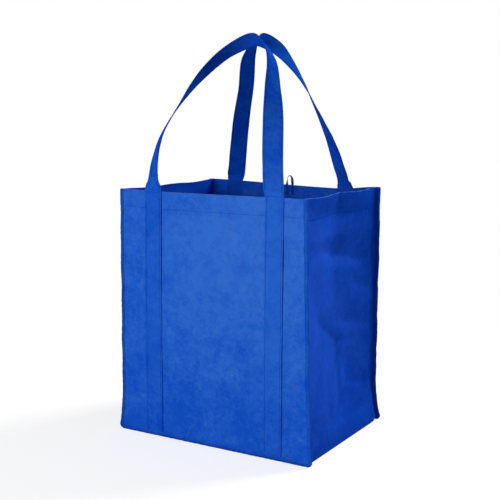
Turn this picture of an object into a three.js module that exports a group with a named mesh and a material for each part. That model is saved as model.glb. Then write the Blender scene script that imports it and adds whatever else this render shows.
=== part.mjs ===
// A non-woven shopping bag standing open, with its handles leaning together.
//
// Millimetres, +Z up. The origin is the centre of the base, on the surface that the bag stands on.
// The front panel faces -Y. The bag has half-turn symmetry about the upright axis, apart from the
// rims, which droop by different amounts, and the hang loop, which only the back panel has.

import * as THREE from 'three';

// Driving dimensions of the bag
const BAG_HEIGHT = 381;
const BAG_DEPTH = 254;
const RIM_WIDTH = 322;
const BASE_FOLD_WIDTH = 331;
const CLOTH = 0.4;
const CLEARANCE = 0.3;

// Rim hem and outward seams
const HEM_DEPTH = 33;
const SEAM_FLANGE = 6.5;
const SEAM_CORNER_RADIUS = 1;
const EDGE_INSET = 1.3;
const SEAM_FOLD = 0.9;
const TAPE_FRONT_GAP = 0.6;
const TAPE_BACK_GAP = 1.6;
const TAPE_TURN = 0.6;
const TAPE_RIM_GAP = 0.5;
const BASE_FOLD_RADIUS = 2;
const BASE_LIFT_WIDTH = 18;

// How the corners stand out towards the floor: the front right and back left corners lean, the
// other two stay upright until just above the floor
const LEAN = 10.5;
const LEANING_FLARE = 4.5;
const UPRIGHT_FLARE = 8.5;
const FLARE_HEIGHT = 22;

// Soft shape of the cloth
const PANEL_BULGE = 2.5;
const CREASE_DEPTH = 5;
const CREASE_REACH = 26;
const SIDE_SAG = 2;
const FRONT_DROOP = 1.5;
const BACK_DROOP = 5.5;
const DROOP_PLACE = 0.55;

// Straps and handle loops
const STRAP_WIDTH = 30;
const STRAP_THICKNESS = 1.2;
const STRAP_SPACING = 208;
const STRAP_OFFSET = 6;
const HANDLE_RISE = 224;
const HANDLE_FOOT = 4;
const STRAP_FOOT_GAP = 1.2;
const HANDLE_GAP = 3;

// Hang loop on the back panel
const LOOP_TAPE_WIDTH = 4.5;
const LOOP_TAPE_THICKNESS = 0.6;
const LOOP_SPREAD = 10;
const LOOP_RISE = 15.5;
const LOOP_TAIL = 16;
const LOOP_OFFSET = 2;

// Base board
const BOARD_THICKNESS = 2;
const BOARD_CLEARANCE = 3;
const BOARD_CORNER_RADIUS = 8;

// Values that follow from the dimensions above
const LAYER = CLOTH + CLEARANCE;
const PANEL_Y = -(BAG_DEPTH - CLOTH) / 2;
const STRAP_STANDOFF = (CLOTH + STRAP_THICKNESS) / 2 + CLEARANCE;
const FLAT_BASE_HALF_DEPTH = BAG_DEPTH / 2 - BASE_LIFT_WIDTH;
const SEAM_CORNER_HEIGHT = SEAM_FLANGE + SEAM_CORNER_RADIUS;
const STACK_RAMP = 8;
const STACK_TOP = BAG_HEIGHT - HEM_DEPTH - 2;
const HOOP_STEPS = 52;

// The stations of each handle loop from its left foot to its right foot, seen from outside.
// across: share of half the strap spacing; in: share of the way from the panel to the middle of
// the bag; up: share of the rise; edge: direction of the strap's width, as across, out and up.
const FRONT_LOOP = [
  { across: -1, in: 0, up: 0, edge: [1, 0, 0] },
  { across: -1.01, in: 0.01, up: 0.06, edge: [0.9, 0.42, 0.06] },
  { across: -1.03, in: 0.07, up: 0.18, edge: [0.8, 0.56, 0.2] },
  { across: -1.01, in: 0.19, up: 0.35, edge: [0.7, 0.68, 0.2] },
  { across: -0.87, in: 0.39, up: 0.55, edge: [0.62, 0.76, 0.2] },
  { across: -0.64, in: 0.62, up: 0.76, edge: [0.31, 0.88, 0.36] },
  { across: -0.32, in: 0.82, up: 0.92, edge: [0.13, 0.88, 0.45] },
  { across: 0.08, in: 0.91, up: 0.99, edge: [-0.03, 0.8, 0.6] },
  { across: 0.43, in: 0.76, up: 0.88, edge: [-0.28, 0.89, 0.37] },
  { across: 0.58, in: 0.56, up: 0.66, edge: [-0.58, 0.78, 0.23] },
  { across: 0.72, in: 0.37, up: 0.45, edge: [-0.82, 0.57, 0.04] },
  { across: 0.86, in: 0.16, up: 0.23, edge: [-0.92, 0.34, -0.12] },
  { across: 0.97, in: 0.02, up: 0.05, edge: [-0.96, 0.24, -0.1] },
  { across: 1, in: 0, up: 0, edge: [-1, 0, 0] },
];
const BACK_LOOP = [
  { across: -0.985, in: 0, up: 0, edge: [0.95, 0.3, 0] },
  { across: -0.97, in: 0.02, up: 0.05, edge: [0.88, 0.46, 0.06] },
  { across: -0.96, in: 0.12, up: 0.14, edge: [0.9, 0.42, 0.14] },
  { across: -0.93, in: 0.3, up: 0.31, edge: [0.82, 0.55, 0.15] },
  { across: -0.81, in: 0.51, up: 0.53, edge: [0.64, 0.74, 0.2] },
  { across: -0.62, in: 0.7, up: 0.767, edge: [0.4, 0.87, 0.26] },
  { across: -0.34, in: 0.86, up: 0.952, edge: [0.02, 0.8, 0.6] },
  { across: -0.04, in: 0.9, up: 1.01, edge: [-0.12, 0.72, 0.68] },
  { across: 0.2, in: 0.77, up: 0.91, edge: [-0.4, 0.8, 0.44] },
  { across: 0.4, in: 0.56, up: 0.69, edge: [-0.47, 0.83, 0.28] },
  { across: 0.62, in: 0.36, up: 0.48, edge: [-0.58, 0.8, 0.13] },
  { across: 0.83, in: 0.15, up: 0.24, edge: [-0.66, 0.74, 0.08] },
  { across: 0.96, in: 0.02, up: 0.06, edge: [-0.8, 0.6, 0] },
  { across: 1, in: 0, up: 0, edge: [-1, 0, 0] },
];

// Colours from the photo
const CLOTH_BLUE = 0x1f52b8;
const TAPE_BLUE = 0x1848a8;
const LOOP_BLUE = 0x14378a;
const BOARD_BLACK = 0x202226;

function clothMaterial(color) {
  return new THREE.MeshStandardMaterial({ color, roughness: 0.8, metalness: 0 });
}

// Smooth step from 0 at t = 0 to 1 at t = 1, level at both ends
function ease(t) {
  const c = Math.min(1, Math.max(0, t));
  return c * c * (3 - 2 * c);
}

function mix(a, b, t) {
  return a + (b - a) * t;
}

// Evenly spaced values from a to b, both included
function steps(a, b, count) {
  return Array.from({ length: count + 1 }, (_, i) => mix(a, b, i / count));
}

// A closed solid of one thickness about a grid of points: grid[row][column] is a THREE.Vector3.
// Each point moves half the thickness both ways along the grid's own normal, and a strip of
// quads closes the four edges.
function sheetGeometry(grid, thickness) {
  const rows = grid.length;
  const columns = grid[0].length;
  const positions = [];
  for (const side of [0.5, -0.5]) {
    for (let r = 0; r < rows; r += 1) {
      for (let c = 0; c < columns; c += 1) {
        const along = new THREE.Vector3().subVectors(
          grid[Math.min(r + 1, rows - 1)][c],
          grid[Math.max(r - 1, 0)][c],
        );
        const across = new THREE.Vector3().subVectors(
          grid[r][Math.min(c + 1, columns - 1)],
          grid[r][Math.max(c - 1, 0)],
        );
        const normal = across.cross(along).normalize();
        const point = grid[r][c].clone().addScaledVector(normal, side * thickness);
        positions.push(point.x, point.y, point.z);
      }
    }
  }
  const front = (r, c) => r * columns + c;
  const back = (r, c) => rows * columns + r * columns + c;
  const index = [];
  const quad = (a, b, c, d) => index.push(a, b, c, a, c, d);
  for (let r = 0; r < rows - 1; r += 1) {
    for (let c = 0; c < columns - 1; c += 1) {
      quad(front(r, c), front(r, c + 1), front(r + 1, c + 1), front(r + 1, c));
      quad(back(r, c), back(r + 1, c), back(r + 1, c + 1), back(r, c + 1));
    }
  }
  for (let c = 0; c < columns - 1; c += 1) {
    quad(front(0, c), back(0, c), back(0, c + 1), front(0, c + 1));
    quad(front(rows - 1, c + 1), back(rows - 1, c + 1), back(rows - 1, c), front(rows - 1, c));
  }
  for (let r = 0; r < rows - 1; r += 1) {
    quad(front(r + 1, 0), back(r + 1, 0), back(r, 0), front(r, 0));
    quad(front(r, columns - 1), back(r, columns - 1), back(r + 1, columns - 1), front(r + 1, columns - 1));
  }
  const geometry = new THREE.BufferGeometry();
  geometry.setAttribute('position', new THREE.Float32BufferAttribute(positions, 3));
  geometry.setIndex(index);
  geometry.computeVertexNormals();
  return geometry;
}

// Half width at height z, from the upright axis to the outer edge of the bound seam. side is -1
// at the left and 1 at the right of the front panel.
function seamTip(side, z) {
  const leans = side > 0;
  const lean = leans ? LEAN * (1 - z / BAG_HEIGHT) : 0;
  const flare = leans ? LEANING_FLARE : UPRIGHT_FLARE;
  return RIM_WIDTH / 2 + lean + flare * Math.exp(-z / FLARE_HEIGHT);
}

// Stations along the seam of a panel, from the left rim down, along the base and up to the right
// rim. A side station holds its share of the height, a corner station its turn from the side to
// the base, and a base station its share of the way across. Two side stations mark where the hems
// start to thicken the seam.
function seamStations(sideSteps, cornerSteps, baseSteps) {
  const shareAt = (z) => (z - SEAM_CORNER_HEIGHT) / (BAG_HEIGHT - SEAM_CORNER_HEIGHT);
  const shares = [1, shareAt(STACK_TOP), ...steps(shareAt(STACK_TOP - STACK_RAMP), 0, sideSteps)];
  const down = shares.map((share) => ({ side: -1, share }));
  const leftTurn = steps(0, 1, cornerSteps).slice(1).map((turn) => ({ side: -1, turn }));
  const base = steps(-1, 1, baseSteps).slice(1).map((across) => ({ across }));
  const rightTurn = steps(1, 0, cornerSteps).slice(1).map((turn) => ({ side: 1, turn }));
  const up = [...shares].reverse().slice(1).map((share) => ({ side: 1, share }));
  return [...down, ...leftTurn, ...base, ...rightTurn, ...up];
}

// The seam of the front panel at a station: its place and its outward direction, in the panel's
// plane. The corner is an arc from the side to the base.
function seamPoint(station) {
  const half = (side, z) => seamTip(side, z) - SEAM_FLANGE;
  if (station.across !== undefined) {
    const side = station.across < 0 ? -1 : 1;
    const reach = half(side, SEAM_CORNER_HEIGHT) - SEAM_CORNER_RADIUS;
    return { x: station.across * reach, z: SEAM_FLANGE, nx: 0, nz: -1 };
  }
  if (station.turn !== undefined) {
    const angle = (station.turn * Math.PI) / 2;
    const nx = station.side * Math.cos(angle);
    const nz = -Math.sin(angle);
    const centre = half(station.side, SEAM_CORNER_HEIGHT) - SEAM_CORNER_RADIUS;
    return {
      x: station.side * centre + SEAM_CORNER_RADIUS * nx,
      z: SEAM_CORNER_HEIGHT + SEAM_CORNER_RADIUS * nz,
      nx,
      nz,
    };
  }
  const z = mix(SEAM_CORNER_HEIGHT, BAG_HEIGHT, station.share);
  return { x: station.side * half(station.side, z), z, nx: station.side, nz: 0 };
}

// The middle of the side and base strip at a station, clear of the seams: the wall comes down to
// a fold on the floor, and the base lies flat between the two folds. wallX is the wall's place
// higher up.
function foldPoint(station, wallX) {
  const floor = CLOTH / 2;
  const half = BASE_FOLD_WIDTH / 2 - CLOTH / 2;
  if (station.across !== undefined) {
    return { x: station.across * (half - BASE_FOLD_RADIUS), z: floor };
  }
  if (station.turn !== undefined) {
    const angle = (station.turn * Math.PI) / 2;
    return {
      x: station.side * (half - BASE_FOLD_RADIUS + BASE_FOLD_RADIUS * Math.cos(angle)),
      z: floor + BASE_FOLD_RADIUS * (1 - Math.sin(angle)),
    };
  }
  const z = mix(floor + BASE_FOLD_RADIUS, BAG_HEIGHT, station.share);
  const settled = ease(station.share * 5);
  return { x: mix(station.side * half, wallX, settled), z };
}

// How far the flange of the strip lies behind the panel: one layer below the hems, three layers
// where both hems are caught in the seam
function flangeStack(z) {
  const intoHem = Math.min(1, Math.max(0, (z - STACK_TOP) / STACK_RAMP + 1));
  return LAYER * (1 + 2 * intoHem);
}

// Droop of a panel's rim, as a share of its full droop: none at the corners, and most near the
// left strap seen from outside. u runs from -1 to 1 across the panel.
function rimDroop(u) {
  const shifted = (u + DROOP_PLACE) / (u < -DROOP_PLACE ? 1 - DROOP_PLACE : 1 + DROOP_PLACE);
  return 0.5 + 0.5 * Math.cos(Math.PI * shifted);
}

// Half width of a panel's cloth, which stops short of the bound edge inside its tape
function panelHalf(side, z) {
  return seamTip(side, Math.max(z, SEAM_CORNER_HEIGHT)) - EDGE_INSET;
}

// The outer face of the front panel bulges a little between its seams
function panelY(x, z) {
  const u = x / panelHalf(Math.sign(x) || 1, z);
  return PANEL_Y - PANEL_BULGE * Math.cos((Math.PI * u) / 2) * Math.sin((Math.PI * z) / BAG_HEIGHT);
}

// Rows of a hemmed sheet near its rim: the angle round the folded edge, then the depth down the
// inside
const FOLD_ANGLES = [45, 90, 135].map((degrees) => (degrees * Math.PI) / 180);
const HEM_DEPTHS = [LAYER / 2, HEM_DEPTH / 2, HEM_DEPTH];

// One panel: up the outside from the base seam to the rim, over the fold and down the hem. Its
// bottom corners are arcs, inside the turn of the binding.
function panelGeometry(droop) {
  const cornerRows = [0, 1.5, 3.5, SEAM_CORNER_HEIGHT];
  const cornerRadius = SEAM_CORNER_HEIGHT - EDGE_INSET;
  const shares = steps(-1, 1, 14);
  const cornerCut = (z) => {
    const below = Math.max(0, SEAM_CORNER_HEIGHT - z);
    return cornerRadius - Math.sqrt(Math.max(0, cornerRadius ** 2 - below ** 2));
  };
  const lowered = (u, z) => droop * rimDroop(u) * ease(z / BAG_HEIGHT);
  const point = (u, z, behind, lift) => {
    const x = u * (panelHalf(Math.sign(u) || 1, z) - cornerCut(z));
    return new THREE.Vector3(x, panelY(x, z) + behind, z - lowered(u, z) + lift);
  };
  const heights = [
    ...cornerRows.map((rise) => EDGE_INSET + rise),
    ...steps(EDGE_INSET + SEAM_CORNER_HEIGHT, BAG_HEIGHT - HEM_DEPTH, 8).slice(1),
    BAG_HEIGHT - HEM_DEPTH / 2,
    BAG_HEIGHT - LAYER / 2,
  ];
  const rows = heights.map((z) => shares.map((u) => point(u, z, 0, 0)));
  for (const angle of FOLD_ANGLES) {
    const behind = (LAYER / 2) * (1 - Math.cos(angle));
    const lift = (LAYER / 2) * Math.sin(angle);
    rows.push(shares.map((u) => point(u, BAG_HEIGHT - LAYER / 2, behind, lift)));
  }
  for (const depth of HEM_DEPTHS) {
    rows.push(shares.map((u) => point(u, BAG_HEIGHT - depth, LAYER, 0)));
  }
  return sheetGeometry(rows, CLOTH);
}

// Cross-section of the side and base strip, from the front flange to the back flange. reach is
// the distance outwards from the seam, and inset the distance in from the flange's layer.
function stripSection() {
  const flange = [
    { reach: SEAM_FLANGE - EDGE_INSET, inset: 0 },
    { reach: SEAM_FLANGE / 2, inset: 0 },
    { reach: SEAM_FOLD, inset: 0 },
    { reach: SEAM_FOLD * (1 - Math.SQRT1_2), inset: SEAM_FOLD * (1 - Math.SQRT1_2) },
  ];
  const wall = [SEAM_FOLD, BASE_LIFT_WIDTH / 3, (2 * BASE_LIFT_WIDTH) / 3, BASE_LIFT_WIDTH].map((inset) => ({
    reach: 0,
    inset,
  }));
  const front = [...flange, ...wall].map((point) => ({ ...point, end: -1 }));
  const middle = steps(-1, 1, 8).slice(1, -1).map((share) => ({ share }));
  const back = [...flange, ...wall].map((point) => ({ ...point, end: 1 })).reverse();
  return [...front, ...middle, ...back];
}

// Inward crease of a side: deepest at the rim on the middle line, fading down the wall
function sideCrease(y, share) {
  return CREASE_DEPTH * Math.exp(-Math.abs(y) / CREASE_REACH) * ease(share * 1.4) * ease(share);
}

// A point of the outer layer of the side and base strip
function stripPoint(station, section) {
  const front = seamPoint(station);
  const mirrored = { ...station };
  if (mirrored.side !== undefined) mirrored.side = -mirrored.side;
  if (mirrored.across !== undefined) mirrored.across = -mirrored.across;
  const turned = seamPoint(mirrored);
  const back = { x: -turned.x, z: turned.z, nx: -turned.nx, nz: turned.nz };
  const flangeY = (z) => PANEL_Y + flangeStack(z);
  if (section.end !== undefined && section.reach > 0) {
    const seam = section.end < 0 ? front : back;
    const y = section.end * (-flangeY(seam.z) - section.inset);
    return new THREE.Vector3(seam.x + seam.nx * section.reach, y, seam.z + seam.nz * section.reach);
  }
  const edge = -flangeY(mix(front.z, back.z, 0.5));
  const inFlat = section.end === undefined;
  const y = inFlat ? section.share * FLAT_BASE_HALF_DEPTH : section.end * (edge - section.inset);
  const towardsBack = 0.5 + y / (2 * edge);
  const seam = { x: mix(front.x, back.x, towardsBack), z: mix(front.z, back.z, towardsBack) };
  const fold = foldPoint(station, seam.x);
  const settled = ease((edge - Math.abs(y)) / (edge - FLAT_BASE_HALF_DEPTH));
  const point = new THREE.Vector3(mix(seam.x, fold.x, settled), y, mix(seam.z, fold.z, settled));
  if (station.share !== undefined) {
    point.x -= station.side * sideCrease(y, station.share) * settled;
    const lobe = Math.sin((Math.PI * y) / edge) ** 2;
    point.z -= SIDE_SAG * lobe * ease(station.share * 2 - 1);
  }
  return point;
}

// The strip that is the left side, the base and the right side, with a hem at both ends
function stripGeometry() {
  const sections = stripSection();
  const stations = seamStations(8, 3, 6);
  const layer = stations.map((station) => sections.map((section) => stripPoint(station, section)));
  // Direction into the bag along a row of points: square to the row, level with the floor
  const inward = (row, c) => {
    const along = new THREE.Vector3().subVectors(
      row[Math.min(c + 1, row.length - 1)],
      row[Math.max(c - 1, 0)],
    );
    return new THREE.Vector3(-along.y, along.x, 0).normalize();
  };
  const hem = (side) => {
    const rim = { side, share: 1 };
    const rimRow = sections.map((section) => stripPoint(rim, section));
    const rows = FOLD_ANGLES.map((angle) =>
      rimRow.map((point, c) =>
        point
          .clone()
          .addScaledVector(inward(rimRow, c), (side * LAYER * (1 - Math.cos(angle))) / 2)
          .add(new THREE.Vector3(0, 0, (LAYER / 2) * (Math.sin(angle) - 1))),
      ),
    );
    for (const depth of HEM_DEPTHS) {
      const share = 1 - depth / (BAG_HEIGHT - SEAM_CORNER_HEIGHT);
      const row = sections.map((section) => stripPoint({ side, share }, section));
      rows.push(row.map((point, c) => point.clone().addScaledVector(inward(row, c), side * LAYER)));
    }
    return rows;
  };
  layer[0].forEach((point) => point.setZ(point.z - LAYER / 2));
  layer[layer.length - 1].forEach((point) => point.setZ(point.z - LAYER / 2));
  return sheetGeometry([...hem(-1).reverse(), ...layer, ...hem(1)], CLOTH);
}

// The folded tape that closes the seam of one panel: up one face of the flange, round its edge
// and down the other face, swept from rim to rim
function bindingGeometry() {
  const grid = seamStations(7, 4, 5).map((station) => {
    const seam = seamPoint(station);
    const z = station.share === 1 ? seam.z - TAPE_RIM_GAP : seam.z;
    const frontY = PANEL_Y - LAYER;
    const backY = PANEL_Y + flangeStack(seam.z) + LAYER;
    const tip = SEAM_FLANGE - CLOTH / 2;
    const middle = (frontY + backY) / 2;
    const section = [
      [TAPE_FRONT_GAP, frontY],
      [SEAM_FLANGE / 2, frontY],
      [tip - TAPE_TURN, frontY],
      [tip - TAPE_TURN / 6, mix(frontY, middle, 0.35)],
      [tip, middle],
      [tip - TAPE_TURN / 6, mix(backY, middle, 0.35)],
      [tip - TAPE_TURN, backY],
      [SEAM_FLANGE / 2, backY],
      [TAPE_BACK_GAP, backY],
    ];
    return section.map(([reach, y]) => new THREE.Vector3(seam.x + seam.nx * reach, y, z + seam.nz * reach));
  });
  return sheetGeometry(grid, CLOTH);
}

// A row of points across a flat tape: its middle point, and the direction of its width
function tapeRow({ middle, edge }, width, strips) {
  return steps(-width / 2, width / 2, strips).map((reach) => middle.clone().addScaledVector(edge, reach));
}

// Smooth stations through hand-set ones: a curve through the middles, and the width directions
// carried between them and kept square to the curve
function smoothStations(knots, count) {
  const middles = new THREE.CatmullRomCurve3(knots.map((knot) => knot.middle), false, 'centripetal');
  const edges = new THREE.CatmullRomCurve3(knots.map((knot) => knot.edge), false, 'catmullrom', 0.5);
  return steps(0, 1, count).map((t) => {
    const tangent = middles.getTangent(t);
    const edge = edges.getPoint(t);
    edge.addScaledVector(tangent, -edge.dot(tangent)).normalize();
    return { middle: middles.getPoint(t), edge };
  });
}

// A strap: up the outside of the panel, free as the handle, and down the panel again
function handleGeometry(droop, loop) {
  const strips = 3;
  const strapX = (side) => STRAP_OFFSET + (side * STRAP_SPACING) / 2;
  const rimAt = (side) => BAG_HEIGHT - droop * rimDroop(strapX(side) / panelHalf(side, BAG_HEIGHT));
  const leg = (side) => {
    const heights = [
      ...steps(SEAM_FLANGE + STRAP_FOOT_GAP, BAG_HEIGHT - HEM_DEPTH, 7),
      BAG_HEIGHT - HEM_DEPTH / 2,
      rimAt(side) + HANDLE_FOOT / 2,
    ];
    return heights.map((z) =>
      steps(side * STRAP_WIDTH, -side * STRAP_WIDTH, strips).map((reach) => {
        const x = strapX(side) + reach / 2;
        return new THREE.Vector3(x, panelY(x, Math.min(z, BAG_HEIGHT)) - STRAP_STANDOFF, z);
      }),
    );
  };
  const knots = loop.map((knot) => ({
    middle: new THREE.Vector3(
      STRAP_OFFSET + (knot.across * STRAP_SPACING) / 2,
      mix(PANEL_Y - STRAP_STANDOFF, -HANDLE_GAP, knot.in),
      mix(rimAt(-1), rimAt(1), (knot.across + 1) / 2) + HANDLE_FOOT + knot.up * HANDLE_RISE,
    ),
    edge: new THREE.Vector3(knot.edge[0], -knot.edge[1], knot.edge[2]).normalize(),
  }));
  const free = smoothStations(knots, HOOP_STEPS).map((station) => tapeRow(station, STRAP_WIDTH, strips));
  return sheetGeometry([...leg(-1), ...free, ...leg(1).reverse()], STRAP_THICKNESS);
}

// The hang loop: two tails side by side on the inside of the hem, and a small arch above the rim
function hangLoopGeometry(droop) {
  const inside = PANEL_Y + LAYER + CLOTH / 2 + CLEARANCE + LOOP_TAPE_THICKNESS / 2;
  const rim = BAG_HEIGHT - droop * rimDroop(LOOP_OFFSET / (RIM_WIDTH / 2));
  const half = LOOP_SPREAD / 2;
  const knots = [
    [-half, -LOOP_TAIL, 1, 0],
    [-half, -LOOP_TAIL / 2, 1, 0],
    [-half, 0, 1, 0],
    [-half * 0.98, LOOP_RISE * 0.35, 0.8, 0.6],
    [-half * 0.7, LOOP_RISE * 0.8, 0.3, 0.95],
    [0, LOOP_RISE, 0, 1],
    [half * 0.7, LOOP_RISE * 0.8, -0.3, 0.95],
    [half * 0.98, LOOP_RISE * 0.35, -0.8, 0.6],
    [half, 0, -1, 0],
    [half, -LOOP_TAIL / 2, -1, 0],
    [half, -LOOP_TAIL, -1, 0],
  ].map(([across, up, edgeX, edgeY]) => ({
    middle: new THREE.Vector3(LOOP_OFFSET + across, inside, rim + up),
    edge: new THREE.Vector3(edgeX, edgeY, 0).normalize(),
  }));
  const grid = smoothStations(knots, 26).map((station) => tapeRow(station, LOOP_TAPE_WIDTH, 1));
  return sheetGeometry(grid, LOOP_TAPE_THICKNESS);
}

// The board that lies loose on the flat of the base
function boardGeometry() {
  const halfWidth = BASE_FOLD_WIDTH / 2 - BASE_FOLD_RADIUS - BOARD_CLEARANCE;
  const halfDepth = FLAT_BASE_HALF_DEPTH - CLEARANCE;
  const radius = BOARD_CORNER_RADIUS;
  const outline = new THREE.Shape();
  outline.absarc(halfWidth - radius, halfDepth - radius, radius, 0, Math.PI / 2);
  outline.absarc(-halfWidth + radius, halfDepth - radius, radius, Math.PI / 2, Math.PI);
  outline.absarc(-halfWidth + radius, -halfDepth + radius, radius, Math.PI, Math.PI * 1.5);
  outline.absarc(halfWidth - radius, -halfDepth + radius, radius, Math.PI * 1.5, Math.PI * 2);
  const options = { depth: BOARD_THICKNESS, bevelEnabled: false, curveSegments: 4 };
  return new THREE.ExtrudeGeometry(outline, options);
}

function namedMesh(name, geometry, material) {
  const mesh = new THREE.Mesh(geometry, material);
  mesh.name = name;
  return mesh;
}

const cloth = clothMaterial(CLOTH_BLUE);
const tape = clothMaterial(TAPE_BLUE);
const loopTape = clothMaterial(LOOP_BLUE);
const board = new THREE.MeshStandardMaterial({ color: BOARD_BLACK, roughness: 0.6, metalness: 0 });

const bag = new THREE.Group();

const front = new THREE.Group();
front.add(namedMesh('front_panel', panelGeometry(FRONT_DROOP), cloth));
front.add(namedMesh('front_binding', bindingGeometry(), tape));
front.add(namedMesh('front_handle', handleGeometry(FRONT_DROOP, FRONT_LOOP), cloth));
bag.add(front);

const back = new THREE.Group();
back.rotation.z = Math.PI;
back.add(namedMesh('back_panel', panelGeometry(BACK_DROOP), cloth));
back.add(namedMesh('back_binding', bindingGeometry(), tape));
back.add(namedMesh('back_handle', handleGeometry(BACK_DROOP, BACK_LOOP), cloth));
back.add(namedMesh('hang_loop', hangLoopGeometry(BACK_DROOP), loopTape));
bag.add(back);

bag.add(namedMesh('side_and_base_strip', stripGeometry(), cloth));

const baseBoard = namedMesh('base_board', boardGeometry(), board);
baseBoard.position.z = CLOTH + CLEARANCE;
bag.add(baseBoard);

export default bag;
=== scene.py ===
"""The looks of a non-woven shopping bag that stands open, with its handles leaning together.

Metres, +Z up, the front panel faces -Y. Every new piece is a surface worked out as whole arrays,
from the same sizes and formulas as the solids, with more of the cloth's folds. Only the base board
keeps its solid.
"""

import math
from collections import namedtuple

import bpy
import numpy as np
from bpy.props import FloatProperty, FloatVectorProperty, PointerProperty
from mathutils import Matrix, Vector


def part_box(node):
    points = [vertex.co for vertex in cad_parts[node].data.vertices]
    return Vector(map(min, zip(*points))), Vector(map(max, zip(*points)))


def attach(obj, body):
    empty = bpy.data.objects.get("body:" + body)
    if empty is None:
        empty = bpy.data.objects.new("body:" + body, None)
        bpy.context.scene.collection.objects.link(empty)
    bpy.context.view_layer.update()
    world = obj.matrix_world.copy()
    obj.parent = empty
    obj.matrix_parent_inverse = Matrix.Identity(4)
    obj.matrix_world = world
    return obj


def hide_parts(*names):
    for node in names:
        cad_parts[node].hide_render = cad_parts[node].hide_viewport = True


bl_info = {
    "name": "Non-woven shopping bag",
    "version": (1, 0, 0),
    "blender": (4, 5, 0),
    "location": "3D View > Sidebar > Bag",
    "description": "Sews a stand-up non-woven shopping bag from its panels, tapes and straps",
    "category": "Add Mesh",
}

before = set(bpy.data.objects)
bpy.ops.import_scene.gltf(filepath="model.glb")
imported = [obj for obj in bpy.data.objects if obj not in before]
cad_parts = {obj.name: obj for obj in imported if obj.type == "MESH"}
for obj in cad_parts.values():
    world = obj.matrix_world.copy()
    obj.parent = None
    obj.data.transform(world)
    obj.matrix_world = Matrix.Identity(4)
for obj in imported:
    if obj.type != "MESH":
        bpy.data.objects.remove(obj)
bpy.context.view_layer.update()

MM = 0.001
TAU = 2 * math.pi
CLOTH_UV = "cloth_uv"
# Attribute of the cloth's layers, which also carries painted highlights and painted shade
LAYERS_WITH_PAINTED_LIGHT = "layers"

# A panel with its strap: names, droop of its rim, soft folds, seed of its ripples, flare of its
# upright corner, strap loop, and whether it is turned to the back
Panel = namedtuple("Panel", "name node strap strap_node droop folds seed flare loop half_turn")

# Stations of each handle loop from its left foot to its right foot, seen from outside: share of
# half the strap spacing, share of the way in, share of the rise, and the direction of the strap's
# width as across, out and up
FRONT_LOOP = (
    (-1.00, 0.00, 0.000, 1.00, 0.00, 0.00),
    (-1.01, 0.01, 0.060, 0.90, 0.42, 0.06),
    (-1.03, 0.07, 0.180, 0.80, 0.56, 0.20),
    (-1.01, 0.19, 0.350, 0.70, 0.68, 0.20),
    (-0.87, 0.39, 0.550, 0.62, 0.76, 0.20),
    (-0.64, 0.62, 0.760, 0.31, 0.88, 0.36),
    (-0.32, 0.82, 0.920, 0.13, 0.88, 0.45),
    (0.08, 0.91, 0.990, -0.03, 0.80, 0.60),
    (0.41, 0.76, 0.880, 0.02, 0.93, 0.36),
    (0.585, 0.56, 0.660, -0.38, 0.88, 0.24),
    (0.72, 0.37, 0.450, -0.82, 0.57, 0.04),
    (0.86, 0.16, 0.230, -0.92, 0.34, -0.12),
    (0.97, 0.02, 0.050, -0.96, 0.24, -0.10),
    (1.00, 0.00, 0.000, -1.00, 0.00, 0.00),
)
BACK_LOOP = (
    (-0.985, 0.00, 0.000, 0.92, 0.38, 0.00),
    (-0.97, 0.02, 0.050, 0.88, 0.46, 0.06),
    (-0.96, 0.12, 0.140, 0.90, 0.42, 0.14),
    (-0.93, 0.30, 0.310, 0.82, 0.55, 0.15),
    (-0.81, 0.51, 0.530, 0.64, 0.74, 0.20),
    (-0.62, 0.70, 0.767, 0.40, 0.87, 0.26),
    (-0.34, 0.86, 0.952, 0.02, 0.80, 0.60),
    (-0.04, 0.90, 1.010, -0.12, 0.72, 0.68),
    (0.20, 0.77, 0.910, -0.40, 0.80, 0.44),
    (0.40, 0.56, 0.690, -0.47, 0.83, 0.28),
    (0.62, 0.36, 0.480, -0.58, 0.80, 0.13),
    (0.83, 0.15, 0.240, -0.66, 0.74, 0.08),
    (0.96, 0.02, 0.060, -0.80, 0.60, 0.00),
    (1.00, 0.00, 0.000, -1.00, 0.00, 0.00),
)

# Soft folds of the panels: start and end (across, height), half width, height of the ridge, all in
# millimetres. Across runs to the panel's right, seen from outside.
FRONT_FOLDS = (
    (128, 122, 162, 100, 5, 2.0),
    (134, 96, 168, 70, 9, -1.4),
    (-34, 355, -28, 262, 9, 0.8),
    (44, 352, 52, 290, 7, -0.9),
    (70, 350, 76, 292, 9, 0.8),
    (28, 300, 48, 262, 5, -0.6),
    (62, 296, 92, 262, 8, 0.9),
    (46, 196, 96, 202, 5, 0.6),
    (40, 186, 94, 190, 5, -0.5),
    (46, 172, 96, 176, 5, 0.5),
    (60, 128, 100, 132, 9, 0.5),
    (-156, 166, -136, 162, 3, 0.7),
    (-150, 300, -128, 120, 14, -0.8),
)
BACK_FOLDS = (
    (-120, 340, -60, 240, 12, 0.9),
    (20, 350, 34, 262, 9, 0.9),
    (-40, 180, 46, 196, 8, -0.7),
    (120, 118, 158, 92, 6, 1.1),
    (60, 120, 100, 96, 10, 0.8),
    (-150, 150, -128, 142, 4, 0.8),
)
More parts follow.
